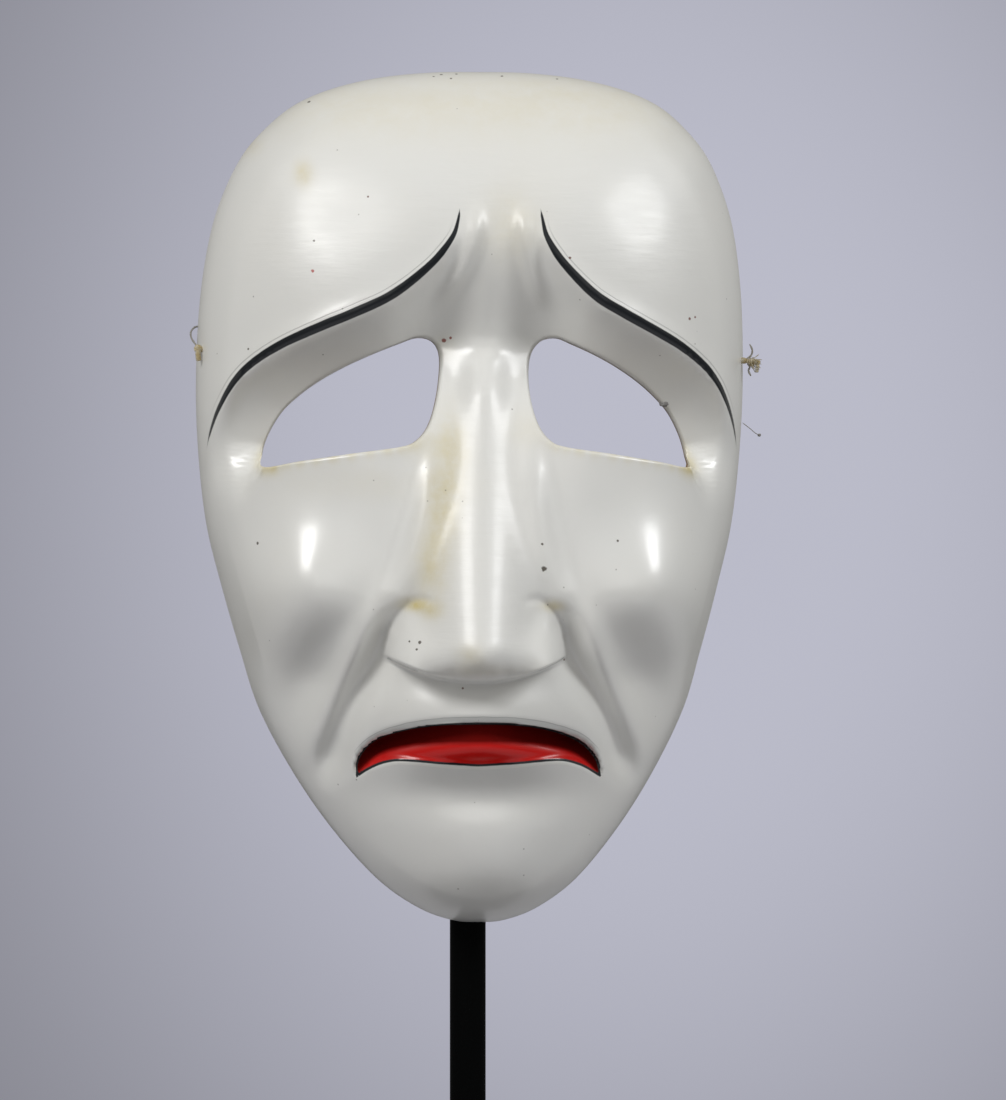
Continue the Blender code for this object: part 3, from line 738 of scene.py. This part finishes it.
# Yellowed patches: x, z, half width, half height, strength, on the mask as seen. The two wide ones over
# the crown are partly real yellowing and partly painted shade, darkening the top of the forehead where
# less light falls
stainsAndCrownShade = [
    (-15.5, -26.6, 3.6, 1.5, 1.6), (-12.4, -28, 2.4, 1.8, 1.2), (17.5, -26.8, 2.6, 1.3, 1.2),
    (-6.8, 11, 3.6, 9, 0.9),
    (-9.6, -3, 4.0, 10, 1.1), (-12.2, -17, 3.6, 8, 0.95), (22, 98, 42, 10, 0.45), (-32, 96, 24, 8, 0.3),
    (-3.5, -38.5, 3, 3, 0.5), (0, -42.5, 12, 2, 0.35), (8, 66, 7, 9, 0.4), (-42.5, 79, 2.2, 3, 0.9),
    (-51, 7.5, 2.6, 2.6, 1.2), (53, 6.5, 2.4, 2.4, 1.1), (-8, 36, 3, 3, 0.35), (12, 16, 5, 4, 0.3),
    (-14, 13, 6, 4, 0.4), (-56, 88, 3, 3, 0.7), (-26, 3, 22, 4, 0.18),
]


def paintFields(x, z, kind):
    # smooth measures that the paint is cut from: signed distances, runs and depths, in mm
    side = featureX(x, z)
    browAcross, browRun, browLength = besideLine(side, z, brow)
    topAcross = besideLine(side, z, mouthTop)[0]
    footAcross = besideLine(side, z, mouthFoot)[0]
    past = side - mouthTop[-1][0]
    lip = np.where(past < 0, np.minimum(topAcross, -footAcross), -np.hypot(past, z - mouthTop[-1][1]))
    noseEnds = smoothStep((side - 9) / 6) * smoothStep((23.5 - side) / 2)
    yellow = sum(swelling(x, z, *spot[:4]) * spot[4] for spot in stainsAndCrownShade)
    hole = np.minimum(*(np.hypot(x[:, None] - ring[::4, 0], z[:, None] - ring[::4, 1]).min(axis=1)
                        for ring in (holeOutline(-1), holeOutline(1))))
    lower = smoothStep((16 - z) / 6) * smoothStep((z - 2) / 3)
    yellow = yellow + 0.75 * lower * np.exp(-((hole / 1.6) ** 2))
    forehead = smoothStep((z - 40) / 22) * smoothStep((108 - z) / 30) * smoothStep((70 - np.abs(x)) / 22)
    onNose = smoothStep((15 - side) / 7) * smoothStep((z + 49) / 10) * smoothStep((38 - z) / 14)
    return {
        "browAcross": browAcross,
        "browAlong": browRun / browLength,
        "lip": lip,
        "lipAbove": np.where(z > heightOn(mouthTop, side), -lip, lip - 1),
        "lipBelow": np.where(z < heightOn(mouthFoot, side), -lip, lip - 1),
        "aside": side,
        "lipShadeEdge": heightOn(lipShadeEdge, side) - z,
        "noseLine": np.abs(z - noseFoot(side) - 0.1) + 4 * (1 - noseEnds),
        "yellow": yellow,
        "rubbed": forehead + 0.85 * onNose,
        "inside": kind,
    }


def makeObject(mesh, name, material):
    thing = bpy.data.objects.new(name, mesh)
    bpy.context.scene.collection.objects.link(thing)
    mesh.materials.clear()
    mesh.materials.append(material)
    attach(thing, "root")
    return thing


# Shader building

class Value:
    # a node's output that can be reckoned with: + - * / and abs each add a Math node
    def __init__(self, node, name=0):
        self.tree, self.socket = node.id_data, node.outputs[name]

    def math(self, operation, *values):
        return Value(addNode(self.tree, "Math", dict(enumerate(values)), operation=operation))

    def __add__(self, other):
        return self.math("ADD", self, other)

    def __sub__(self, other):
        return self.math("SUBTRACT", self, other)

    def __rsub__(self, other):
        return self.math("SUBTRACT", other, self)

    def __mul__(self, other):
        return self.math("MULTIPLY", self, other)

    def __truediv__(self, other):
        return self.math("DIVIDE", self, other)

    def __abs__(self):
        return self.math("ABSOLUTE", self)

    def held(self):
        # between 0 and 1
        self.socket.node.use_clamp = True
        return self


def plug(node, inputs):
    # outputs are linked, and plain values set
    for key, value in inputs.items():
        if isinstance(value, Value):
            node.id_data.links.new(value.socket, node.inputs[key])
        else:
            node.inputs[key].default_value = value


def addNode(tree, kind, inputs=None, **settings):
    made = tree.nodes.new("ShaderNode" + kind)
    for key, value in settings.items():
        setattr(made, key, value)
    plug(made, inputs or {})
    return made


def newMaterial(name):
    material = bpy.data.materials.new(name)
    material.use_nodes = True
    return material, material.node_tree, material.node_tree.nodes["Principled BSDF"]


def objectPlace(tree):
    return Value(addNode(tree, "TexCoord"), "Object")


def field(tree, name):
    return Value(addNode(tree, "Attribute", attribute_name=name), "Fac")


def mixColour(share, a, b, way="MIX"):
    # a (1 - share) + b share
    a, b = (value if isinstance(value, Value) else (*value, 1) for value in (a, b))
    inputs = {"Factor": share, "A": a, "B": b}
    return Value(addNode(share.tree, "Mix", inputs, data_type="RGBA", blend_type=way), "Result")


def mixValue(share, a, b):
    return Value(addNode(share.tree, "Mix", {0: share, 2: a, 3: b}, data_type="FLOAT"), "Result")


def smoothRamp(value, between, results):
    inputs = {"Value": value, "From Min": between[0], "From Max": between[1]}
    inputs.update({"To Min": results[0], "To Max": results[1]})
    return Value(addNode(value.tree, "MapRange", inputs, interpolation_type="SMOOTHSTEP"), "Result")


def edgeOf(value, soft):
    # 0 below -soft, 1 above +soft
    return value.math("MULTIPLY_ADD", value, 0.5 / soft, 0.5).held()


def noise(place, scale, detail=2.0, rough=0.5):
    inputs = {"Vector": place, "Scale": scale, "Detail": detail, "Roughness": rough}
    return Value(addNode(place.tree, "TexNoise", inputs), "Fac")


def stretched(place, scale, turn=(0, 0, 0)):
    return Value(addNode(place.tree, "Mapping", {"Vector": place, "Scale": scale, "Rotation": turn}))


def bumped(height, strength, distance):
    inputs = {"Height": height, "Strength": strength, "Distance": distance}
    return Value(addNode(height.tree, "Bump", inputs), "Normal")


def makeGroup(name, inputs, outputs, build):
    # inputs and outputs: names and kinds of sockets
    tree = bpy.data.node_groups.new(name, "ShaderNodeTree")
    for way, sockets in (("INPUT", inputs), ("OUTPUT", outputs)):
        for socketName, kind in sockets.items():
            tree.interface.new_socket(socketName, in_out=way, socket_type="NodeSocket" + kind)
    start, end = tree.nodes.new("NodeGroupInput"), tree.nodes.new("NodeGroupOutput")
    plug(end, build(tree, {socketName: Value(start, socketName) for socketName in inputs}))
    return tree


def buildSpeck(tree, given):
    # a ragged dot: size - |place - centre|, the depth counted half, its edge pushed about by noise
    away = addNode(tree, "VectorMath", {0: given["Place"], 1: given["Centre"]}, operation="SUBTRACT")
    away = addNode(tree, "VectorMath", {0: Value(away), 1: (1, 0.5, 1)}, operation="MULTIPLY")
    length = Value(addNode(tree, "VectorMath", {0: Value(away)}, operation="LENGTH"), "Value")
    size = given["Size"] * (noise(given["Place"], 1500.0, 1.0) + 0.5)
    return {"Mask": ((size - length) / (size * 0.35)).held()}


def buildWood(tree, given):
    # bands of a stretched noise, with fine pores along them
    place = given["Place"]
    wavy = noise(stretched(place, (60, 60, 7)), 1.6, 4.0, 0.6) * 9.0
    bands = abs(wavy.math("FRACT", wavy) - 0.5)
    dust = noise(place, 90.0, 5.0, 0.6)
    pores = noise(stretched(place, (900, 900, 60)), 1.0, 2.0, 0.6)
    return {"Shade": (bands * 0.9 + dust * 0.6) * 0.8, "Pores": pores}


# Specks of dirt: x, z, size in mm, how red, on the mask as seen
specks = [
    (15.2, -17.8, 0.75, 0.0), (14.8, -11.8, 0.4, 0.0), (-15.2, -35.6, 0.5, 0.0), (-17.6, -35.4, 0.3, 0.0),
    (-16, -37.3, 0.35, 0.0), (-40.6, 54.8, 0.5, 1.0), (-40.4, 98, 0.5, 0.0), (7.6, 104.6, 0.4, 0.0),
    (21.4, 104, 0.4, 0.0), (-7.4, 105, 0.45, 0.0), (-5.2, 103.8, 0.35, 0.0), (-3.6, 105.2, 0.4, 0.0),
    (-9.4, 104.4, 0.3, 0.0), (-8, 38.2, 0.6, 0.5), (-6.4, 38.8, 0.4, 0.5), (-40.2, 62.2, 0.35, 0.0),
    (-56, 36, 0.3, 0.0), (-53.8, -11.6, 0.4, 0.0), (52.3, 43.6, 0.4, 0.3), (53.8, 44, 0.3, 0.3),
    (20.8, -40, 0.4, 0.2), (-4.4, -46.8, 0.3, 0.2), (33.6, -11, 0.35, 0.0), (-27, 73, 0.3, 0.2),
    (22, 58, 0.35, 0.2), (-55.6, 87.4, 0.8, 0.3), (-53.4, 91, 0.6, 0.3), (-57.4, 84.2, 0.5, 0.3),
]
speckGroup = makeGroup(
    "speck", {"Place": "Vector", "Centre": "Vector", "Size": "Float"}, {"Mask": "Float"}, buildSpeck
)
woodGroup = makeGroup("bareWood", {"Place": "Vector"}, {"Shade": "Float", "Pores": "Float"}, buildWood)
paint = {
    "white": (0.775, 0.765, 0.725),
    "whiteCool": (0.735, 0.74, 0.725),
    "yellow": (0.62, 0.53, 0.26),
    "black": (0.010, 0.012, 0.015),
    "red": (0.58, 0.003, 0.001),
    # painted shade: the upper part of the lips, under the upper edge
    "shadedRed": (0.13, 0.002, 0.001),
    # painted shade: the chamfer over the lips is painted a little grey
    "chamfer": (0.70, 0.71, 0.68),
    # painted highlight: the lit edge under the lower lip
    "rim": (0.86, 0.85, 0.80),
    "speck": (0.05, 0.035, 0.02),
    "redSpeck": (0.40, 0.03, 0.02),
    "wood": (0.42, 0.29, 0.16),
    "woodDark": (0.20, 0.12, 0.06),
    "coat": 0.6,
    "coatRoughness": 0.2,
}
# Widths and reaches of the painted lines, in mm
lines = {
    "overLips": (1.45, 29.5),  # chamfer: height, and how far it runs from the middle
    "underLipHighlight": (0.95, 23.0),
    "lipBlack": 0.5,
    "brow": (1.55, -0.33),  # its half width grows with its share
    "browShares": [
        (0.0, 0.0), (0.03, 0.4), (0.13, 0.8), (0.3, 1.0), (0.5, 0.95), (0.66, 0.75), (0.8, 0.35),
        (0.87, 0.0),
    ],
    "fineGap": 0.75,
    "noseLine": 0.2,
}


def faceHeight(x, z):
    return float(carved(np.array([x], float), np.array([z], float))[0])


def lipPaint(tree, colour, wobble):
    # the chamfer over the lips, painted a little grey as its shade, with a painted dark line along its top
    # as the shade of the crease, and a painted highlight along the lower lip's edge under them
    aside = field(tree, "aside")
    (high, run), (low, shortRun) = lines["overLips"], lines["underLipHighlight"]
    above = field(tree, "lipAbove") + wobble
    overLips = edgeOf(run - aside, 1.2)
    underLipHighlight = edgeOf(shortRun - aside, 3.5)
    # the chamfer band, painted grey as its shade
    shadedChamfer = edgeOf(above, 0.1) * edgeOf(high - above, 0.08) * overLips
    colour = mixColour(shadedChamfer * 0.8, colour, paint["chamfer"])
    # a painted dark line along the chamfer's top, as the shade of its crease
    creaseShade = edgeOf(0.09 - abs(above - (high + 0.05)), 0.1) * overLips
    colour = mixColour(creaseShade * 0.4, colour, paint["black"])
    below = field(tree, "lipBelow") + wobble
    # a painted highlight: a pale band along the lower lip's edge
    rim = edgeOf(below, 0.1) * edgeOf(low - below, 0.12) * underLipHighlight
    return mixColour(rim * 0.7, colour, paint["rim"])


def browStroke(tree, wobble):
    # the stroke, and the fine line scratched along it
    ramp = addNode(tree, "ValToRGB", {"Fac": field(tree, "browAlong")})
    ramp.color_ramp.interpolation = "B_SPLINE"
    while len(ramp.color_ramp.elements) < len(lines["browShares"]):
        ramp.color_ramp.elements.new(0.5)
    for element, (at, value) in zip(ramp.color_ramp.elements, lines["browShares"]):
        element.position = at
        element.color = (value, value, value, 1)
    width = Value(ramp, "Color") * lines["brow"][0] + lines["brow"][1]
    across = field(tree, "browAcross") + 0.55 + wobble * 0.4
    stroke = edgeOf(width - abs(across), 0.1)
    fineLine = edgeOf(0.12 - abs(across + width + lines["fineGap"]), 0.12)
    return stroke, fineLine * edgeOf(width - 0.55, 0.2)


def addDirt(tree, place, colour):
    # the specks in their places, and a scatter of finer dots from the cells of a random pattern
    for x, z, size, reddish in specks:
        centre = tuple(onMask([(x, z, faceHeight(x, z))])[0] / 1000)
        dot = addNode(tree, "Group", node_tree=speckGroup)
        plug(dot, {"Place": place, "Centre": centre, "Size": size / 1000})
        dirt = [a + (b - a) * reddish for a, b in zip(paint["speck"], paint["redSpeck"])]
        colour = mixColour(Value(dot, "Mask") * 0.9, colour, dirt)
    cells = addNode(tree, "TexVoronoi", {"Vector": place, "Scale": 240.0})
    chosen = Value(addNode(tree, "SeparateColor", {"Color": Value(cells, "Color")}), "Red")
    dots = edgeOf(chosen * 0.055 - Value(cells, "Distance"), 0.02) * edgeOf(chosen - 0.72, 0.05)
    return mixColour(dots * 0.55, colour, paint["speck"])


def lacquerMaterial():
    material, tree, shader = newMaterial("paintedWood")
    place = objectPlace(tree)
    wobble = (noise(place, 260.0) - 0.5) * 0.35
    cloud = noise(place, 26.0, 4.0, 0.55)
    fine = noise(place, 420.0, 3.0, 0.6)
    colour = mixColour(cloud, paint["white"], paint["whiteCool"])
    # yellowing, with painted shade over the crown, broken up by noise
    yellow = field(tree, "yellow") * (noise(place, 130.0, 6.0, 0.7) * 1.5 - 0.15)
    colour = mixColour((yellow * 0.75).held(), colour, paint["yellow"])
    colour = lipPaint(tree, colour, wobble)
    lip = field(tree, "lip") + wobble * 0.5
    black = edgeOf(lip + 0.12, 0.09)
    red = edgeOf(lip - lines["lipBlack"], 0.1)
    # the red is painted darker high up, as the shade that the upper edge casts into the recess
    lipLit = edgeOf(field(tree, "lipShadeEdge") + wobble, 0.6)
    stroke, fineLine = browStroke(tree, wobble)
    colour = mixColour(fineLine * 0.35, colour, paint["black"])
    noseLine = edgeOf(lines["noseLine"] - field(tree, "noseLine"), 0.15)
    colour = mixColour(noseLine * 0.75, colour, paint["black"])
    colour = addDirt(tree, place, colour)
    colour = mixColour(black, colour, paint["black"])
    colour = mixColour(red, colour, mixColour(lipLit, paint["shadedRed"], paint["red"]))
    colour = mixColour(stroke, colour, paint["black"])
    painted = black.math("MAXIMUM", black, stroke)
    # bare wood inside, the lacquer lapping raggedly over the rim
    bare = edgeOf(field(tree, "inside") + wobble * 1.2 - 1.1, 0.15)
    wood = addNode(tree, "Group", node_tree=woodGroup)
    plug(wood, {"Place": place})
    woodColour = mixColour(Value(wood, "Shade"), paint["woodDark"], paint["wood"])
    # the forehead and the nose are rubbed duller, in streaks, and the upper lip is dull
    rubbed = field(tree, "rubbed")
    streaks = noise(stretched(place, (90, 90, 620), (0, 0.6, 0)), 1.0, 3.0, 0.6)
    recess = red * (1.0 - lipLit)
    gloss = fine * 0.10 + 0.25 + cloud * 0.06 + rubbed * (streaks * 0.22 - 0.02)
    gloss = mixValue(recess, mixValue(painted, gloss, 0.33), 0.7)
    coated = (1.0 - bare) * (paint["coat"] - recess).held()
    sheen = mixValue(red, mixValue(painted, 0.5, 0.3), 0.3)
    swell = noise(place, 130.0) * 0.09 + noise(place, 420.0) * 0.014 + streaks * rubbed * 0.08
    height = swell + fine * 0.004 + fineLine * -0.06
    plug(shader, {
        "Base Color": mixColour(bare, colour, woodColour),
        "Roughness": mixValue(bare, gloss, 0.75),
        "Coat Weight": coated * (1.0 - rubbed * 0.7) * (1.0 - red * 0.35),
        "Coat Roughness": paint["coatRoughness"],
        "Specular IOR Level": mixValue(recess, sheen, 0.05),
        "Normal": bumped(mixValue(bare, height, Value(wood, "Pores") * 0.12), 1.0, 0.001),
    })
    return material


# Stand: a rod bent forward, its bar and its round foot

stand = {
    "rod": 4.5,  # radius
    "bend": 14.0,
    "pastBar": 4.0,
    "bar": 2.5,  # radius
    "notch": 4.0,
    "gap": 0.3,
    "foot": 85.0,
    "footHeight": 10.0,
    "footEdge": 2.0,
    "socket": 8.0,
    "chamfer": 0.5,
}
steel = {
    "colour": (0.0008, 0.0010, 0.0010),
    "worn": (0.006, 0.006, 0.006),
    "dust": (0.16, 0.155, 0.145),
    "roughness": 0.62,
    "specular": 0.04,
}


def tubeShell(path, radii, sides):
    # p + r (n cos a + b sin a), the frame n, b turned as little as it can from one station to the next
    path, radii = np.array(path, float), np.broadcast_to(radii, len(path))
    along = np.gradient(path, axis=0)
    along /= np.linalg.norm(along, axis=1)[:, None]
    normal = np.cross(along[0], (0, 0, 1) if abs(along[0][2]) < 0.9 else (1, 0, 0))
    normals = []
    for tangent in along:
        normal = normal - tangent * np.dot(normal, tangent)
        normal = normal / np.linalg.norm(normal)
        normals.append(normal)
    normals = np.array(normals)
    turn = np.linspace(0, fullTurn, sides, endpoint=False)[None, :, None]
    ring = normals[:, None] * np.cos(turn) + np.cross(along, normals)[:, None] * np.sin(turn)
    points = path[:, None] + ring * radii[:, None, None]
    index = np.arange(len(path) * sides).reshape(len(path), sides)
    faces = np.concatenate([bridge(a, b) for a, b in zip(index[:-1], index[1:])]).tolist()
    faces += [index[0][::-1].tolist(), index[-1].tolist()]
    return points.reshape(-1, 3), faces


def polarShell(rings, poles):
    # rings of points, closed at a pole before the first and another after the last
    index = np.arange(rings.shape[0] * rings.shape[1]).reshape(rings.shape[:2])
    faces = np.concatenate([bridge(a, b) for a, b in zip(index[:-1], index[1:])]).tolist()
    for pole, ring in ((index.size, index[0][::-1]), (index.size + 1, index[-1])):
        faces += np.stack([ring, np.roll(ring, -1), np.full(ring.size, pole)], axis=1).tolist()
    return np.vstack([rings.reshape(-1, 3), poles]), faces


def turnedShell(profile, sides):
    # (r cos a, r sin a, z), from pole to pole
    profile = np.array(profile, float)
    turn = np.linspace(0, fullTurn, sides, endpoint=False)
    r, z = profile[1:-1, 0, None], profile[1:-1, 1, None]
    rings = np.stack([r * np.cos(turn), r * np.sin(turn), z + 0 * turn], axis=-1)
    return polarShell(rings, [[0, 0, profile[0, 1]], [0, 0, profile[-1, 1]]])


def shellMesh(name, shells, aged=None):
    # several closed shells in one mesh, from millimetres
    points, faces, ages = [], [], []
    count = 0
    for number, (shellPoints, shellFaces) in enumerate(shells):
        points.append(shellPoints)
        faces += [[point + count for point in face] for face in shellFaces]
        ages.append(np.full(len(shellPoints), aged[number] if aged else 0.0))
        count += len(shellPoints)
    mesh = bpy.data.meshes.new(name)
    mesh.from_pydata(np.vstack(points) / 1000, [], faces)
    finishMesh(mesh, {"aged": np.concatenate(ages)})
    mesh.set_sharp_from_angle(angle=math.radians(40))
    return mesh


def steelMaterial():
    material, tree, shader = newMaterial("blackSteel")
    place = objectPlace(tree)
    cloud = noise(place, 45.0, 5.0, 0.65)
    normal = Value(addNode(tree, "NewGeometry"), "Normal")
    facing = Value(addNode(tree, "SeparateXYZ", {0: normal}), "Z")
    # dust has settled in clouds where the steel faces up, and the paint is scuffed
    settled = edgeOf(facing - 0.8, 0.15) * edgeOf(cloud - 0.56, 0.12)
    grains = edgeOf(noise(place, 900.0) - 0.66, 0.04)
    scuffs = edgeOf(noise(place, 60.0, 8.0, 0.75) - 0.68, 0.03)
    colour = mixColour(scuffs * 0.5, steel["colour"], steel["worn"])
    plug(shader, {
        "Base Color": mixColour(settled * (grains * 0.25 + 0.04), colour, steel["dust"]),
        "Roughness": cloud * 0.12 + steel["roughness"],
        "Specular IOR Level": steel["specular"],
        "Normal": bumped(noise(place, 1300.0), 0.5, 0.00012),
    })
    return material


def makeStand(material):
    low, high = (np.array(corner) * 1000 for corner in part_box("crossbar"))
    barY, barZ = (low[1] + high[1]) / 2, (low[2] + high[2]) / 2
    edge = stand["chamfer"]
    # rod: straight up, a quarter bend, then the arm, cut along the bar's underside
    armZ = barZ - stand["rod"] + stand["notch"] - stand["bar"] - stand["gap"]
    floorZ = stand["footHeight"] - stand["socket"] + stand["gap"]
    turn = np.linspace(0, math.pi / 2, 25)
    bendY, bendZ = -stand["bend"] * (1 - np.cos(turn)), armZ - stand["bend"] * (1 - np.sin(turn))
    upright = np.concatenate([[floorZ, floorZ + edge], np.linspace(floorZ + 8, bendZ[0] - 4, 40)])
    tip = barY - stand["pastBar"]
    arm = np.concatenate([np.arange(bendY[-1] - 0.4, tip + edge, -0.1), [tip + edge, tip]])
    path = np.concatenate([
        np.stack([0 * upright, 0 * upright, upright], axis=1),
        np.stack([0 * turn, bendY, bendZ], axis=1),
        np.stack([0 * arm, arm, armZ + 0 * arm], axis=1),
    ])
    radii = np.full(len(path), stand["rod"])
    radii[[0, -1]] -= edge
    points, faces = tubeShell(path, radii, 48)
    reach = stand["bar"] + stand["gap"]
    across = np.clip(1 - ((points[:, 1] - barY) / reach) ** 2, 0, 1)
    under = np.abs(points[:, 1] - barY) < reach
    points[:, 2] = np.where(under, np.minimum(points[:, 2], barZ - reach * np.sqrt(across)), points[:, 2])
    rod = makeObject(shellMesh("rod", [(points, faces)]), "blackRod", material)
    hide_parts("post")
    # bar, with rounded ends
    half = high[0]
    inner = np.linspace(-half + 2, half - 2, 30)
    x = np.concatenate([[-half, -half + 0.15, -half + edge], inner, [half - edge, half - 0.15, half]])
    radii = np.full(len(x), stand["bar"])
    radii[[0, -1]] -= edge
    radii[[1, -2]] -= edge * 0.4
    shell = tubeShell(np.stack([x, barY + 0 * x, barZ + 0 * x], axis=1), radii, 32)
    bar = makeObject(shellMesh("bar", [shell]), "blackBar", material)
    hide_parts("crossbar")
    # foot, turned, with its socket
    out, high, round_ = stand["foot"], stand["footHeight"], stand["footEdge"]
    turn = np.linspace(0, math.pi / 2, 9)
    shoulder = list(zip(out - round_ * (1 - np.cos(turn)), high - round_ * (1 - np.sin(turn))))
    wall, floor = stand["rod"] + stand["gap"], high - stand["socket"]
    rings = [(r, high) for r in np.linspace(out - round_ - 1, wall + 1, 18)]
    profile = [(0, 0), (40, 0), (out - 1.2, 0), (out - 0.5, 0.3), (out - 0.1, 0.9), (out, 1.6)]
    profile += [*shoulder, *rings, (wall + 0.4, high), (wall, high - 0.4), (wall, floor), (0, floor)]
    foot = makeObject(shellMesh("foot", [turnedShell(profile, 160)]), "roundFoot", material)
    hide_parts("base")


# Ends of the tie: mask millimetres as above, x, z, h

tie = {
    "cord": 0.75,  # radius
    "thread": 0.24,
    "fibre": 0.11,
    "fibres": 34,
    "straw": (0.55, 0.43, 0.20),
    "pale": (0.78, 0.73, 0.58),
    "grey": (0.30, 0.295, 0.29),
    # painted shade between the fibres
    "hollows": (0.12, 0.09, 0.05),
    "roughness": 0.9,
    "sheen": 0.2,
}


def onMask(points):
    x, z, h = np.array(points, float).T
    return np.stack([x, mask["rimPlane"] - h, mask["middle"] + z], axis=1)


def strand(points, radius, sides=8, tip=0.4, steps=6, lumps=0.0, seed=0):
    # a tube on a smooth line, thinned at its ends, with lumps r (1 + k noise)
    path = smoothLine(onMask(points), steps=steps)
    share = np.linspace(0, 1, len(path))
    radii = radius * (tip + (1 - tip) * smoothStep(np.minimum(share, 1 - share) / 0.08))
    radii = radii * (1 + lumps * np.sin(share * 41 + seed) * np.sin(share * 17 + 2 * seed))
    return tubeShell(path, radii, sides)


def knotShell(place, size, seed):
    # r (1 + bumps) over a ball
    turn, down = np.linspace(0, fullTurn, 20, endpoint=False), np.linspace(0, math.pi, 13)[1:-1]
    a, b = np.meshgrid(turn, down)
    bumps = 1 + 0.13 * np.sin(3 * a + seed) * np.sin(2 * b) + 0.09 * np.sin(5 * a - 2 * b + seed)
    bumps = bumps + 0.06 * np.cos(7 * b + a)
    direct = np.stack([np.sin(b) * np.cos(a), np.sin(b) * np.sin(a), np.cos(b)], axis=-1)
    rings = direct * bumps[..., None] * np.array(size)
    points, faces = polarShell(rings, [[0, 0, size[2]], [0, 0, -size[2]]])
    return points + onMask([place])[0], faces


def stringMaterial():
    material, tree, shader = newMaterial("tieString")
    place = objectPlace(tree)
    fine = noise(stretched(place, (5200, 5200, 900), (0.5, 0.4, 0)), 1.0)
    cloud = noise(place, 700.0, 3.0)
    colour = mixColour(edgeOf(cloud - 0.5, 0.12), tie["straw"], tie["pale"])
    colour = mixColour(field(tree, "aged"), colour, tie["grey"])
    plug(shader, {
        # the grooves along the fibres are painted darker, as the shade between them
        "Base Color": mixColour(fine * 0.5, colour, tie["hollows"], "MULTIPLY"),
        "Roughness": tie["roughness"],
        "Sheen Weight": tie["sheen"],
        "Normal": bumped(fine, 0.6, 0.0001),
    })
    return material


def makeTies(material):
    cord, thread, fibre = tie["cord"], tie["thread"], tie["fibre"]
    through = [(61, 0), (64, 0), (66.4, 0)]
    # left: a knot at the hole, its cut end, and a thread led up over the rim
    cut = [(-67.8, 36.5, 9.6), (-67.9, 35.4, 9.9), (-67.8, 34.2, 10.0), (-67.7, 33.6, 10)]
    led = [
        (-68.0, 37.2, 9), (-68.8, 38.2, 7.4), (-69.5, 39.6, 5), (-69.5, 41.0, 2.6), (-68.6, 42.2, 0.4),
        (-67.2, 42.6, -0.6),
    ]
    shells = [
        strand([(-x, 36.5 + z, 9) for x, z in through] + [(-67.6, 36.6, 9.2)], cord, 12, lumps=0.08),
        knotShell((-67.9, 36.7, 9.4), (0.95, 1.0, 0.9), 1.0),
        strand(cut, 0.66, 12, 0.75, lumps=0.1, seed=2),
        strand(led, thread, 8, 0.5, lumps=0.15),
    ]
    left = makeObject(shellMesh("tieLeft", shells, [0.1, 0.0, 0.15, 0.9]), "tieEndLeft", material)
    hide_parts("tie_stub_left")
    # right: frayed to a tuft, with a few stray strands
    inside = [(x, 34 + z, 9) for x, z in through]
    tuft = [(68.4, 33.9, 9.6), (69.8, 33.8, 9.8), (71.2, 33.7, 9.9), (72.0, 33.1, 9.9)]
    bent = [(70.6, 33.8, 9.7), (71.4, 32.9, 9.9), (71.3, 31.8, 10), (71.1, 31.0, 10)]
    strayUp = [(68.8, 34.4, 9.4), (69.9, 35.3, 9.2), (70.2, 36.6, 9), (69.6, 38.1, 8.6)]
    strayDown = [(68.9, 33.2, 9.5), (69.5, 32.4, 9.6), (69.2, 31.4, 9.6), (69.8, 30.1, 9.6)]
    shells = [
        strand(inside + [(67.8, 34, 9.2), (68.8, 33.8, 9.6)], cord, 12, lumps=0.08),
        strand(tuft, 0.62, 10, 0.4, lumps=0.3, seed=1),
        strand(bent, 0.46, 10, 0.5, lumps=0.35, seed=3),
        strand(strayUp, thread, 8, 0.4, lumps=0.2),
        strand(strayDown, thread, 8, 0.4, lumps=0.2),
    ]
    ages = [0.1, 0.1, 0.15, 0.75, 0.75]
    draw = np.random.default_rng(7)
    for number in range(tie["fibres"]):
        start = np.array([69.6, 33.7, 9.7]) + draw.normal(0, 0.3, 3)
        way = np.array([draw.uniform(0.2, 1.0), draw.uniform(-1.0, 0.7), draw.uniform(-0.4, 0.5)])
        length = draw.uniform(1.4, 3.1)
        bend = draw.normal(0, 0.35, 3)
        middle, end = start + way * length * 0.5 + bend, start + way * length + bend * 0.4
        shells.append(strand([start, middle, end], fibre, 5, 0.4, 4))
        ages.append(draw.uniform(0, 0.5))
    # a lone fibre lower down, caught on the side, with a tiny knot
    lone = [(68.4, 18.6, 3), (70.2, 17.2, 3.2), (71.6, 16.0, 3.4), (72.8, 15.4, 3.4)]
    shells += [strand(lone, fibre, 6, 0.5), knotShell((72.6, 15.5, 3.4), (0.42, 0.4, 0.36), 2.0)]
    ages += [0.8, 0.9]
    right = makeObject(shellMesh("tieRight", shells, ages), "tieEndRight", material)
    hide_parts("tie_stub_right")


def makeCrumb(material):
    # a crumb of dried plant stuck to the edge of the right eye hole
    knot = knotShell((46.9, 22.9, faceHeight(48.6, 23.4) - 0.5), (1.2, 0.9, 0.75), 4.0)
    makeObject(shellMesh("crumb", [knot], [1.0]), "crumb", material)


makeCamera()
makeLights()
makeFloor()
makeWorld()
makeStand(steelMaterial())
string = stringMaterial()
makeTies(string)
makeCrumb(string)
lacquer = lacquerMaterial()
maskPiece = makeObject(maskMesh(makeMask()), "lacqueredMask", lacquer)
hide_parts("mask")
